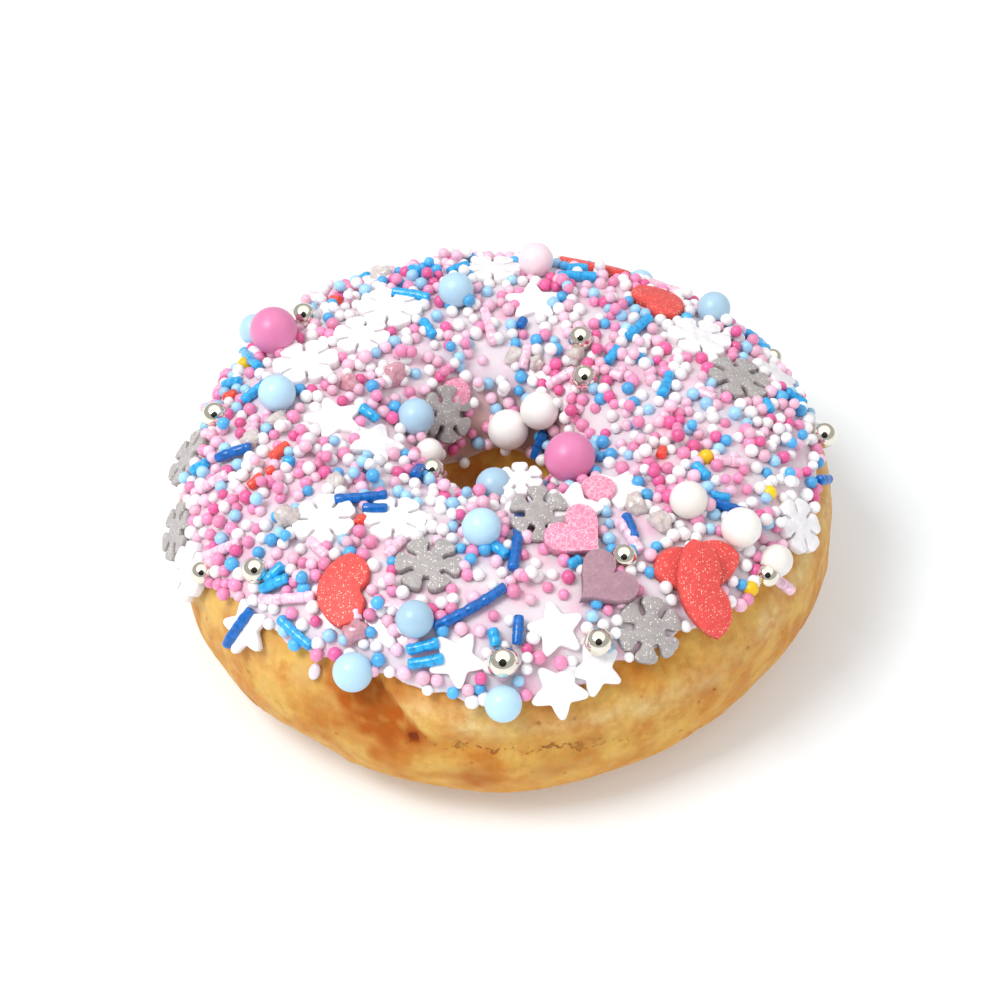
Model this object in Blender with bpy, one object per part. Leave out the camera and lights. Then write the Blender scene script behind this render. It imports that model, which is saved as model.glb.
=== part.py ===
"""An iced ring doughnut under mixed sugar sprinkles.

Two pieces: the ring of fried dough, and the skin of icing with its sprinkles set in it.
Sizes are in millimetres and become metres when a mesh is placed. The ring stands on Z = 0
round the Z axis. A place on the ring has a bearing, in degrees from +X seen from above
(270 is the front), and a lean, in degrees from the crest (outwards is positive).
"""
import math
import random

import bmesh
import bpy
from mathutils import Matrix, Vector

MM = 0.001

# Ring with its icing
OUTER_RADIUS = 47.7
CREST_RADIUS = 26.6
HOLE_RADIUS = 8.5
TOP_HALF = 17.2
BOTTOM_HALF = 16.1
RESTING_CUT = 0.25
GIRTH_HEIGHT = BOTTOM_HALF - RESTING_CUT

# How square each quarter of the section is (2 is an ellipse)
OUTER_TOP_POWER = 2.2
OUTER_BOTTOM_POWER = 3.0
INNER_TOP_POWER = 2.5
INNER_BOTTOM_POWER = 2.2

# Unevenness of the hand-turned ring
OVAL = 0.6
THREE_LOBED = 0.58
THREE_LOBED_BEARING = 17 / 3
HOLE_SHIFT = (-1.0, 0.4)

# Icing
ICING_THICKNESS = 1.0
ICING_EDGE_THICKNESS = 0.35
ICING_GAP = 0.4
ICING_OUTER_LEAN = 58.5
ICING_INNER_LEAN = -78.0
OUTER_WAVES = ((1.5, 3, 0.7), (1.0, 8, 0.0))  # degrees of lean, waves round the ring, start
INNER_WAVES = ((2.5, 2, 1.0), (1.5, 5, 0.0))
RUNS = ((14.0, 204, 9), (-4.0, 245, 8))  # degrees of lean, bearing, spread
BARE_FROM_LEAN = 52.0
BARE_BY_LEAN = 84.0
HOLE_BARE_FROM_LEAN = 68.0
HOLE_BARE_BY_LEAN = 92.0

# Relief of the dough: height, then a bearing and its spread, and a lean and its spread
ROLL_ABOVE_FOLD = (0.5, 262, 9, 72, 7)
CREASE = (-0.45, 270, 30, 84, 3.5)
LOW_ROLL = (0.35, 290, 40, 97, 8)
LEFT_UNDERCUT = (-1.3, 236, 24, 128, 24)
RIGHT_UNDERCUT = (-0.6, 312, 24, 118, 24)
FOLD_DEPTH = 1.3
FOLD_BEARING, FOLD_BEARING_SPREAD = 252, 4.5
FOLD_LEAN, FOLD_LEAN_SPREAD, FOLD_SLOPE = 70.7, 6, 1.9

# Facets
RING_STEPS = 48
DOUGH_SECTION_STEPS = 20
ICING_SECTION_STEPS = 8

# Places of the toppings: bearing, lean, then sizes in millimetres or turns in degrees.
# A turn of 0 points a piece down the side of the ring, and 90 to a greater bearing.
PEARLS = [  # bearing, lean, diameter
    (104, 1, 5.3), (174, 15, 5.4), (253.5, 34.5, 5.1), (148, 56, 4.9), (245, 58, 5.4),
    (169, -42, 5.3), (264.5, -6, 5.4), (270, 62.5, 5.0), (268, -44, 5.2), (41, 44, 5.0),
    (150, 31, 7.0), (319, -36, 7.2), (82, 22, 5.3), (49, -53, 5.6), (77, -64, 6.0),
    (324, 15, 5.3), (326.5, 34.5, 5.6), (190, -52, 4.0), (328, 52, 4.6),
    (98, 51, 5.2), (63, 57, 5.0), (128, 60, 5.4),
]
DRAGEES = [  # bearing, lean, diameter
    (141, 30, 3.7), (174.5, 42, 3.8), (54, -19, 3.7), (37, -33, 3.8), (218, -46, 3.6),
    (219, 44, 3.7), (208.5, 63, 3.2), (270, 47, 4.3), (287.5, 45, 3.8), (300, 19, 3.6),
    (3, 62, 3.8), (325, 54, 3.4), (112, 54, 3.7), (82, 60, 3.6), (28, 62, 3.7),
]
# Flat pieces: bearing, lean, turn, size, and where they aren't flat on the icing, the lift in
# millimetres and how far they are tipped up, down the side
FLAKES = [
    (252, 11, 10, 9.2), (298, 47, 0, 9.6), (285, -13, 20, 8.8, 0, 28), (15.5, 23.5, 25, 9.4),
    (137, -53, 0, 8.6, 0.9, 0), (179, 61, 30, 9.0), (197, 67, 10, 8.6), (157, 12, 0, 9.8),
    (124, 7, 20, 9.8), (139, 1, 0, 8.4), (221, 13, 15, 9.0), (32, 20, 0, 9.6),
    (340, 54, 20, 8.8), (204, 71, 0, 8.6), (92, 22, 0, 8.8), (236, -5, 30, 8.8),
    (90, 58, 10, 9.0), (45, 60, 40, 9.0), (141, 56, 0, 8.8), (286, -42, 15, 6.4, 0.5, 40),
]
STARS = [
    (262, 46, 10, 7.8), (280.5, 37, 40, 7.9), (281, 59, 0, 8.0), (286.5, 54, 50, 7.4),
    (296, -11, 0, 9.0, 0, 18), (317.5, -12, 30, 8.4), (194, -26, 25, 8.8), (181, -9, 0, 8.8),
    (79, -1, 15, 8.8), (222.5, 65, 0, 8.0), (119, 38, 0, 7.6), (20, 47, 10, 8.0),
    (107, 61, 20, 8.0),
]
LIPS = [
    (314, 34, 68, 13.4), (237.5, 31, 22, 11.0), (311, 43, -20, 14.0, 1.6, 0), (49, 24, 75, 9.6),
    (70, 43, 85, 12.0),
]
HEARTS = [
    (293, 25, -70, 8.8, 0.2, 0), (292, 3, 25, 8.6, 0.2, 16),
]
DISCS = [
    (311, -16, 0, 4.9, 0.1, 0), (121, -47, 0, 4.4, 0.1, 0),
]
SUGAR_LUMPS = [  # bearing, lean, diameter
    (243, 44, 3.2), (181.5, 15, 2.8), (186, 25, 2.8), (214.5, 22, 3.4), (315, 1, 3.0),
    (315, 13, 3.0), (148, -25, 3.4), (51.5, -26, 2.8),
]
RODS = [  # bearing and lean of one end, then of the other
    (257, 35.5, 271, 19), (278, -18, 273, 12), (218, 5, 227.5, -13), (226, 0, 232, -7),
    (273.5, 30.5, 272.7, 41), (222.5, 56.5, 220.8, 76), (306, 13.5, 309.5, 3),
    (187.5, 40, 189, 25), (41, -61, 44, -76), (223, -33, 214.8, -42), (13.5, 43, 12.5, 53),
    (329.5, 21, 332.5, 35), (352.5, 55, 355.5, 62), (253, 45, 258.5, 40.5),
    (253.8, 50, 259.7, 46),
    (228.5, 52, 236.3, 55.5), (222, 44.5, 222.8, 35.5), (222, 48, 225.5, 38),
    (151, 51, 160, 31), (172, 31, 165.5, 21), (120, 15, 112, 3.5),
    (118.5, -9, 118.5, -20), (174, -20, 179.5, -28), (42, -5, 44.5, 11.5),
    (37, -21.5, 40.5, -12.5), (10, -10.5, 19.5, -3), (339, 7, 336, 14), (75, 18, 66, 24),
    (95.5, -9, 92.5, -29), (75, -28, 75, -39), (55.5, -43.5, 46, -32), (192, 51, 193.5, 36),
    (206, 59, 211, 42), (306.5, 3, 305, 19), (223, 51, 232.5, 38), (326.5, 57, 328.5, 68),
    (242.5, 3, 241.5, 13), (72, 50, 74, 62), (118, 48, 121, 60), (36, 54, 33, 66),
]
ROD_DIAMETER = 1.5
LONG_ROD = 7.0
FLAKE_THICKNESS = 1.3
STAR_THICKNESS = 1.1
LIPS_THICKNESS = 1.6
LIPS_WIDTH = 7.6
HEART_THICKNESS = 1.6
DISC_THICKNESS = 1.5
BEAD_DIAMETER = 1.9
BEAD_SPACING = 8.1
BEAD_ROWS = (-54, -31.5, -9, 13.5, 36)  # lean of each row of beads
BEAD_STRAY = 3  # degrees of lean that a bead may lie off its row
BEAD_CLEARANCE = 0.75
BEAD_SEED = 7
SUNK = 0.35
PLATE_COVER = 0.45  # reach that a flat piece covers, as a share of its size
ROD_COVER = 1.5


def smooth_step(low, high, value):
    """0 below low, 1 above high, and an even S between."""
    share = min(1.0, max(0.0, (value - low) / (high - low)))
    return share * share * (3 - 2 * share)


def bump(value, middle, spread):
    """A smooth bump of height 1."""
    return math.exp(-((value - middle) / spread) ** 2)


def mound(bearing, lean, height, middle, spread, middle_lean, lean_spread):
    """A smooth rise, or a dip where its height is negative."""
    return height * bump(bearing, middle, spread) * bump(lean, middle_lean, lean_spread)


def waves(bearing, terms):
    """Sum of waves that run round the ring."""
    return sum(height * math.sin(times * math.radians(bearing) + start)
               for height, times, start in terms)


def section(lean):
    """Reach from the crest circle and height over the girth, on the iced ring's section."""
    side, up = math.sin(math.radians(lean)), math.cos(math.radians(lean))
    if side > 0:
        half_width = OUTER_RADIUS - CREST_RADIUS
        power = OUTER_TOP_POWER if up > 0 else OUTER_BOTTOM_POWER
    else:
        half_width = CREST_RADIUS - HOLE_RADIUS
        power = INNER_TOP_POWER if up > 0 else INNER_BOTTOM_POWER
    half_height = TOP_HALF if up > 0 else BOTTOM_HALF
    size = (abs(side) ** power + abs(up) ** power) ** (-1 / power)
    return Vector((half_width * side * size, half_height * up * size))


def ring_point(bearing, lean, lift=0.0):
    """The point on the uneven ring, lifted off its section."""
    slope = (section(lean + 0.5) - section(lean - 0.5)).normalized()
    reach, height = section(lean) + lift * Vector((-slope.y, slope.x))
    angle = math.radians(bearing)
    lobes = THREE_LOBED * math.cos(3 * (angle - math.radians(THREE_LOBED_BEARING)))
    uneven = 1 + (OVAL * math.sin(2 * angle) + lobes) / OUTER_RADIUS
    radius = (CREST_RADIUS + reach) * uneven
    inwards = 1 - (CREST_RADIUS + reach) / OUTER_RADIUS
    return Vector((radius * math.cos(angle) + HOLE_SHIFT[0] * inwards,
                   radius * math.sin(angle) + HOLE_SHIFT[1] * inwards,
                   GIRTH_HEIGHT + height))


def icing_seat(lean):
    """Lift of the dough under the icing: sunk below it, and level with the ring where bare."""
    if lean > 0:
        bare = smooth_step(BARE_FROM_LEAN, BARE_BY_LEAN, lean)
    else:
        bare = smooth_step(HOLE_BARE_FROM_LEAN, HOLE_BARE_BY_LEAN, -lean)
    return -(ICING_THICKNESS + ICING_GAP) * (1 - bare)


def icing_point(bearing, lean, lift=0.0):
    """The point on the top of the icing, lifted off it."""
    return ring_point(bearing, lean, icing_seat(lean) + ICING_GAP + ICING_THICKNESS + lift)


def outer_edge(bearing):
    """Lean of the icing's lower edge: slow waves, one long run and a place where it stops short."""
    runs = sum(length * bump(bearing, middle, spread) for length, middle, spread in RUNS)
    return ICING_OUTER_LEAN + waves(bearing, OUTER_WAVES) + runs


def inner_edge(bearing):
    """Lean of the icing's edge inside the hole."""
    return ICING_INNER_LEAN + waves(bearing, INNER_WAVES)


def dough_relief(bearing, lean):
    """Lift of the dough's fold, the rolls beside it, the crease under the pale band, and the
    sides that draw in below."""
    fold_lean = FOLD_LEAN + FOLD_SLOPE * (bearing - FOLD_BEARING)
    fold = mound(bearing, lean, -FOLD_DEPTH, FOLD_BEARING, FOLD_BEARING_SPREAD, fold_lean,
                 FOLD_LEAN_SPREAD)
    forms = (ROLL_ABOVE_FOLD, CREASE, LOW_ROLL, LEFT_UNDERCUT, RIGHT_UNDERCUT)
    return fold + sum(mound(bearing, lean, *form) for form in forms)


def seat(bearing, lean, lift=0.0):
    """Matrix that lays a topping on the icing: Z out of it and X down the side."""
    down = (icing_point(bearing, lean + 1) - icing_point(bearing, lean - 1)).normalized()
    along = (icing_point(bearing + 1, lean) - icing_point(bearing - 1, lean)).normalized()
    out = down.cross(along).normalized()
    axes = Matrix((down, out.cross(down), out)).transposed().to_4x4()
    return Matrix.Translation(icing_point(bearing, lean) + lift * out) @ axes


def material(name, colour, roughness):
    """Principled BSDF with the part's colour."""
    made = bpy.data.materials.new(name)
    made.use_nodes = True
    shader = made.node_tree.nodes["Principled BSDF"]
    shader.inputs["Base Color"].default_value = (*colour, 1)
    shader.inputs["Roughness"].default_value = roughness
    return made


def make_object(name, bm, collection):
    """Object in metres of a bmesh in millimetres."""
    bmesh.ops.scale(bm, vec=(MM, MM, MM), verts=bm.verts)
    bmesh.ops.recalc_face_normals(bm, faces=bm.faces)
    mesh = bpy.data.meshes.new(name)
    bm.to_mesh(mesh)
    bm.free()
    made = bpy.data.objects.new(name, mesh)
    collection.objects.link(made)
    return made


def turned_loop(rows):
    """A closed loop of profile points turned round the Z axis. Each row is a share along the
    profile and a lift, kept in two layers so that the points can be placed afterwards."""
    bm = bmesh.new()
    share_layer = bm.verts.layers.float.new("share")
    lift_layer = bm.verts.layers.float.new("lift")
    loop = []
    for index, (share, lift) in enumerate(rows):
        angle = 2 * math.pi * index / len(rows)
        corner = bm.verts.new((CREST_RADIUS + math.sin(angle), 0, math.cos(angle)))
        corner[share_layer], corner[lift_layer] = share, lift
        loop.append(corner)
    edges = [bm.edges.new((loop[index - 1], loop[index])) for index in range(len(loop))]
    bmesh.ops.spin(bm, geom=loop + edges, axis=(0, 0, 1), cent=(0, 0, 0), steps=RING_STEPS,
                   angle=2 * math.pi, use_merge=True)
    return bm, share_layer, lift_layer


def bearing_of(point):
    """Bearing of a point, from 0 to 360 degrees."""
    return math.degrees(math.atan2(point.y, point.x)) % 360


def make_dough(collection):
    """The ring of dough: a section turned round, uneven, folded, and flat where it rests."""
    rows = [(360 * step / DOUGH_SECTION_STEPS - 180, 0) for step in range(DOUGH_SECTION_STEPS)]
    bm, lean_layer, _ = turned_loop(rows)
    for corner in bm.verts:
        bearing, lean = bearing_of(corner.co), corner[lean_layer]
        lift = icing_seat(lean) + dough_relief(bearing, lean)
        corner.co = ring_point(bearing, lean, lift)
        corner.co.z = max(0.0, corner.co.z)
    return make_object("dough_ring", bm, collection)


def make_icing(collection):
    """The skin of icing alone: a thin closed shell with rounded wavy edges."""
    top, under = [(0.0, ICING_EDGE_THICKNESS)], []
    for step in range(ICING_SECTION_STEPS + 1):
        top.append((0.03 + 0.94 * step / ICING_SECTION_STEPS, ICING_THICKNESS))
    top.append((1.0, ICING_EDGE_THICKNESS))
    for step in range(ICING_SECTION_STEPS + 2):
        under.append((1.0 - step / (ICING_SECTION_STEPS + 1), 0.0))
    bm, share_layer, lift_layer = turned_loop(top + under)
    for corner in bm.verts:
        bearing, share = bearing_of(corner.co), corner[share_layer]
        lean = inner_edge(bearing) + share * (outer_edge(bearing) - inner_edge(bearing))
        corner.co = ring_point(bearing, lean, icing_seat(lean) + ICING_GAP + corner[lift_layer])
    return make_object("icing_with_sprinkles", bm, collection)


def pearl(bearing, lean, diameter):
    """A large smooth sugar ball, sunk a little into the icing."""
    bm = bmesh.new()
    bmesh.ops.create_icosphere(bm, subdivisions=2, radius=diameter / 2)
    bm.transform(seat(bearing, lean, diameter / 2 - SUNK))
    return bm


def dragee(bearing, lean, diameter):
    """A ball of middling size, with fewer faces."""
    bm = bmesh.new()
    bmesh.ops.create_uvsphere(bm, u_segments=7, v_segments=4, radius=diameter / 2)
    bm.transform(seat(bearing, lean, diameter / 2 - SUNK))
    return bm


def bead(bearing, lean, diameter):
    """A small bead or a rough lump of sugar, of 20 faces."""
    bm = bmesh.new()
    bmesh.ops.create_icosphere(bm, subdivisions=1, radius=diameter / 2)
    bm.transform(seat(bearing, lean, diameter / 2 - SUNK))
    return bm


def plate(outline, thickness, place):
    """A flat sugar shape: its outline raised by its thickness, laid in its place."""
    bm = bmesh.new()
    face = bm.faces.new([bm.verts.new((x, y, -SUNK)) for x, y in outline])
    raised = bmesh.ops.extrude_face_region(bm, geom=[face])["geom"]
    corners = [item for item in raised if isinstance(item, bmesh.types.BMVert)]
    bmesh.ops.translate(bm, vec=(0, 0, thickness), verts=corners)
    bm.transform(place)
    return bm


def laid(bearing, lean, turn, size, lift=0.0, tip=0.0):
    """Matrix of a flat piece. One that is tipped up still meets the icing with its low edge."""
    raised = lift + PLATE_COVER * size * math.sin(math.radians(tip))
    tipped = Matrix.Rotation(math.radians(tip), 4, "Y")
    return seat(bearing, lean, raised) @ tipped @ Matrix.Rotation(math.radians(turn), 4, "Z")


def polar(pairs):
    """Points from pairs of a radius and an angle in degrees."""
    return [(radius * math.cos(math.radians(angle)), radius * math.sin(math.radians(angle)))
            for radius, angle in pairs]


def flake_outline(diameter):
    """Snowflake of six broad petals with a notch between each two."""
    petal = [(0.50, 0), (0.98, 13), (0.98, 47)]
    return polar([(radius * diameter / 2, 60 * index + angle)
                  for index in range(6) for radius, angle in petal])


def star_outline(diameter):
    """Five-pointed star with blunt arms."""
    return polar([(share * diameter / 2, 72 * index + angle)
                  for index in range(5) for share, angle in ((1.0, 0), (0.56, 36))])


def lips_outline(length):
    """Lips: a full curve below, and above it two curves that meet in a dip."""
    steps = 6
    upper = []
    lower = []
    for step in range(steps + 1):
        along = 2 * step / steps - 1
        rise = 0.48 * LIPS_WIDTH * (1 - along ** 2) * (0.8 + along ** 2)
        upper.append((along * length / 2, rise))
    for step in range(1, steps):
        along = 1 - 2 * step / steps
        lower.append((along * length / 2, -0.52 * LIPS_WIDTH * (1 - along ** 2) ** 0.7))
    return upper + lower


def heart_outline(width):
    """Heart that points along X, from the usual heart curve."""
    points = []
    for step in range(14):
        angle = 2 * math.pi * step / 14
        across = 16 * math.sin(angle) ** 3
        along = (13 * math.cos(angle) - 5 * math.cos(2 * angle) - 2 * math.cos(3 * angle)
                 - math.cos(4 * angle))
        points.append((-along * width / 32, across * width / 32))
    return points


def disc_outline(diameter):
    """Round sugar disc."""
    return polar([(diameter / 2, 360 * step / 12) for step in range(12)])


def rod(bearing, lean, end_bearing, end_lean):
    """A rod of sugar lying along the icing between two places."""
    bm = bmesh.new()
    bmesh.ops.create_cone(bm, cap_ends=True, segments=5, radius1=ROD_DIAMETER / 2,
                          radius2=ROD_DIAMETER / 2, depth=1)
    start, end = icing_point(bearing, lean), icing_point(end_bearing, end_lean)
    if (end - start).length > LONG_ROD:
        bmesh.ops.bisect_plane(bm, geom=bm.verts[:] + bm.edges[:] + bm.faces[:],
                               plane_co=(0, 0, 0), plane_no=(0, 0, 1))
    for corner in bm.verts:
        share = corner.co.z + 0.5
        spot = seat(bearing + share * (end_bearing - bearing), lean + share * (end_lean - lean),
                    ROD_DIAMETER / 2 - SUNK + corner.co.y)
        side = (end - start).cross(spot.col[2].xyz).normalized()
        corner.co = spot.translation + corner.co.x * side
    return bm


def large_toppings():
    """Every topping that has its own place, with the centre and reach that it covers."""
    made = []
    for kind, shape, places in (("pearl", pearl, PEARLS), ("dragee", dragee, DRAGEES),
                                ("lump", bead, SUGAR_LUMPS)):
        for bearing, lean, diameter in places:
            made.append((kind, shape(bearing, lean, diameter), (bearing, lean), diameter / 2))
    for kind, outline, thickness, places in (("flake", flake_outline, FLAKE_THICKNESS, FLAKES),
                                             ("star", star_outline, STAR_THICKNESS, STARS),
                                             ("lips", lips_outline, LIPS_THICKNESS, LIPS),
                                             ("heart", heart_outline, HEART_THICKNESS, HEARTS),
                                             ("disc", disc_outline, DISC_THICKNESS, DISCS)):
        for place in places:
            bearing, lean, _, size = place[:4]
            shape = plate(outline(size), thickness, laid(*place))
            made.append((kind, shape, (bearing, lean), PLATE_COVER * size))
    for ends in RODS:
        middle = ((ends[0] + ends[2]) / 2, (ends[1] + ends[3]) / 2)
        made.append(("rod", rod(*ends), middle, ROD_COVER))
    return made


def bead_places(taken):
    """Places of the small beads: even rows round the ring, each bead moved a little by a
    seeded draw and left out where a larger topping lies."""
    draw = random.Random(BEAD_SEED)
    centres = [(icing_point(*middle), reach) for _, _, middle, reach in taken]
    for row_lean in BEAD_ROWS:
        around = 2 * math.pi * (CREST_RADIUS + section(row_lean).x)
        count = round(around / BEAD_SPACING)
        for index in range(count):
            bearing = 360 * (index + draw.uniform(0.3, 0.7)) / count
            lean = row_lean + draw.uniform(-BEAD_STRAY, BEAD_STRAY)
            spot = icing_point(bearing, lean)
            if all((spot - centre).length > reach + BEAD_CLEARANCE for centre, reach in centres):
                yield bearing, lean


def fuse(skin, pieces):
    """Join the toppings to the icing by one Boolean union, and keep the one outer body."""
    modifier = skin.modifiers.new("toppings", "BOOLEAN")
    modifier.operation = "UNION"
    modifier.operand_type = "COLLECTION"
    modifier.collection = pieces
    modifier.solver = "MANIFOLD"
    evaluated = skin.evaluated_get(bpy.context.evaluated_depsgraph_get())
    fused = bpy.data.meshes.new_from_object(evaluated)
    skin.modifiers.clear()
    skin.data = fused
    for piece in list(pieces.objects):
        bpy.data.objects.remove(piece, do_unlink=True)
    bpy.data.collections.remove(pieces)
    drop_scraps(fused)


def drop_scraps(mesh):
    """Delete every body of a mesh but the one with the most corners."""
    bm = bmesh.new()
    bm.from_mesh(mesh)
    bmesh.ops.triangulate(bm, faces=bm.faces)
    unseen = set(bm.verts)
    bodies = []
    while unseen:
        body, edge = set(), [unseen.pop()]
        while edge:
            corner = edge.pop()
            body.add(corner)
            for link in corner.link_edges:
                other = link.other_vert(corner)
                if other in unseen:
                    unseen.discard(other)
                    edge.append(other)
        bodies.append(body)
    bodies.sort(key=len)
    for body in bodies[:-1]:
        bmesh.ops.delete(bm, geom=list(body), context="VERTS")
    bm.to_mesh(mesh)
    bm.free()


def main():
    for item in list(bpy.data.objects):
        bpy.data.objects.remove(item, do_unlink=True)
    scene = bpy.context.scene.collection

    dough = make_dough(scene)
    dough.data.materials.append(material("fried_dough", (0.55, 0.27, 0.07), 0.55))
    dough.data.shade_smooth()

    icing = make_icing(scene)
    toppings = bpy.data.collections.new("toppings")
    scene.children.link(toppings)
    large = large_toppings()
    for index, (kind, bm, _, _) in enumerate(large):
        make_object(f"{kind}_{index}", bm, toppings)
    for index, (bearing, lean) in enumerate(bead_places(large)):
        make_object(f"bead_{index}", bead(bearing, lean, BEAD_DIAMETER), toppings)
    fuse(icing, toppings)
    icing.data.materials.clear()
    icing.data.materials.append(material("sugar_icing", (0.85, 0.66, 0.76), 0.25))


main()
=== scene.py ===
"""An iced ring doughnut thickly covered with pastel sugar sprinkles, on a white table."""
import math
import random

import bmesh
import bpy
import numpy as np
from mathutils import Matrix, Vector, noise
from mathutils.kdtree import KDTree


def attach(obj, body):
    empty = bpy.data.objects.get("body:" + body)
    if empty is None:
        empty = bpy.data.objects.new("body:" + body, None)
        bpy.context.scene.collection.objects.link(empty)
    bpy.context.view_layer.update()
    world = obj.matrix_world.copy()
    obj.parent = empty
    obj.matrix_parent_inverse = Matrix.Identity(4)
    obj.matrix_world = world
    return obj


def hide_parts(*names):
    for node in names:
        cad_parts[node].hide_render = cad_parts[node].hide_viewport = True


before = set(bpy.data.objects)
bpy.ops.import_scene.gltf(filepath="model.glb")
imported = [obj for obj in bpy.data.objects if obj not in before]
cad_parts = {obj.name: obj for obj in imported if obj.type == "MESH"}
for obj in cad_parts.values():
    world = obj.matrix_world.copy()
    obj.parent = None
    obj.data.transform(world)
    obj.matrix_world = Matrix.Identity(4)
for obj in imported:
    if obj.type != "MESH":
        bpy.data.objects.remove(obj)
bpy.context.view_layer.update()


# Ring of dough. Yeast dough, proved and fried in fat on both sides: golden brown, a little oily,
# with a paler band round the girth where it floated, blisters, and a fold where the hand-turned
# ring was closed. It is one piece, settled flat on its underside.
# Sizes are in millimetres. A place on the ring has a bearing, in degrees from +X seen from above
# (270 is the front), and a lean, in degrees from the crest, outwards positive.
MM = 0.001
OUTER_RADIUS = 47.7
CREST_RADIUS = 26.6
HOLE_RADIUS = 8.5
TOP_HALF = 17.2
BOTTOM_HALF = 16.1
GIRTH_HEIGHT = BOTTOM_HALF - 0.25
OUTER_TOP_POWER = 2.2
OUTER_BOTTOM_POWER = 3.0
INNER_TOP_POWER = 2.5
INNER_BOTTOM_POWER = 2.2
OVAL = 0.6
THREE_LOBED = 0.58
THREE_LOBED_BEARING = 17 / 3
HOLE_SHIFT = (-1.0, 0.4)
ICING_THICKNESS = 1.0
DOUGH_SUNK_UNDER_ICING = 1.2
BARE_FROM_LEAN = 52.0
BARE_BY_LEAN = 84.0
HOLE_BARE_FROM_LEAN = 68.0
HOLE_BARE_BY_LEAN = 92.0
RING_STEPS = 360
DOUGH_SECTION_STEPS = 110
MM_PER_BEARING = 0.8    # at the girth
MM_PER_LEAN = 0.36
FOLD_PLACE = (248.5, 59)    # bearing and lean of its upper end
FOLD_SLANT = 0.707    # sine of the 45 degrees at which it runs down
FOLD_DEPTH = 1.25
# height, then bearing and its spread, then lean and its spread
ROLL_ABOVE_FOLD = (0.55, 262, 9, 72, 7)
LOW_ROLL = (0.3, 290, 40, 101, 8)
LEFT_UNDERCUT = (-1.3, 236, 24, 128, 24)
RIGHT_UNDERCUT = (-0.6, 312, 24, 118, 24)
CREASE_DEPTH = 0.4
CREASE_SPREAD = 4
BLISTER_HEIGHT = 0.3
BLISTER_WIDTH = 2.4
WRINKLE_HEIGHT = 0.06
WRINKLE_WIDTH = 0.9
UNEVEN_HEIGHT = 0.45
UNEVEN_WIDTH = 10


def smooth_step(painted_bounce, high, value):
    """0 below low, 1 above high, and an even S between."""
    share = min(1.0, max(0.0, (value - painted_bounce) / (high - painted_bounce)))
    return share * share * (3 - 2 * share)


def bump(value, middle, spread):
    """A smooth bump of height 1."""
    return math.exp(-((value - middle) / spread) ** 2)


def section(lean):
    """Reach from the crest circle and height over the girth, on the iced ring's section."""
    side, up = math.sin(math.radians(lean)), math.cos(math.radians(lean))
    if side > 0:
        half_width = OUTER_RADIUS - CREST_RADIUS
        power = OUTER_TOP_POWER if up > 0 else OUTER_BOTTOM_POWER
    else:
        half_width = CREST_RADIUS - HOLE_RADIUS
        power = INNER_TOP_POWER if up > 0 else INNER_BOTTOM_POWER
    half_height = TOP_HALF if up > 0 else BOTTOM_HALF
    size = (abs(side) ** power + abs(up) ** power) ** (-1 / power)
    return Vector((half_width * side * size, half_height * up * size))


def ring_point(bearing, lean, lift=0.0):
    """The point on the uneven ring, lifted off its section."""
    slope = (section(lean + 0.5) - section(lean - 0.5)).normalized()
    reach, height = section(lean) + lift * Vector((-slope.y, slope.x))
    angle = math.radians(bearing)
    lobes = THREE_LOBED * math.cos(3 * (angle - math.radians(THREE_LOBED_BEARING)))
    uneven = 1 + (OVAL * math.sin(2 * angle) + lobes) / OUTER_RADIUS
    radius = (CREST_RADIUS + reach) * uneven
    inwards = 1 - (CREST_RADIUS + reach) / OUTER_RADIUS
    return Vector((radius * math.cos(angle) + HOLE_SHIFT[0] * inwards,
                   radius * math.sin(angle) + HOLE_SHIFT[1] * inwards,
                   GIRTH_HEIGHT + height))


def icing_seat(lean):
    """Lift of the dough under the icing: sunk below it, and level with the ring where bare."""
    if lean > 0:
        bare = smooth_step(BARE_FROM_LEAN, BARE_BY_LEAN, lean)
    else:
        bare = smooth_step(HOLE_BARE_FROM_LEAN, HOLE_BARE_BY_LEAN, -lean)
    return -DOUGH_SUNK_UNDER_ICING * (1 - bare)


def crease_lean(bearing):
    """Lean of the crease that runs under the pale band, lower towards the right."""
    return 83 + 11 * ((bearing - 255) / 38) ** 2


def beside_fold(bearing, lean):
    """Distances in millimetres from the fold, to its lower left, and down along it."""
    along = (bearing - FOLD_PLACE[0]) * MM_PER_BEARING
    down = (lean - FOLD_PLACE[1]) * MM_PER_LEAN
    return (down - along) * FOLD_SLANT, (down + along) * FOLD_SLANT


def swelling(bearing, lean, shape):
    """Height of a soft roll of dough, or of a hollow where it is below 0."""
    height, middle, spread, at, width = shape
    return height * bump(bearing, middle, spread) * bump(lean, at, width)


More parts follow.
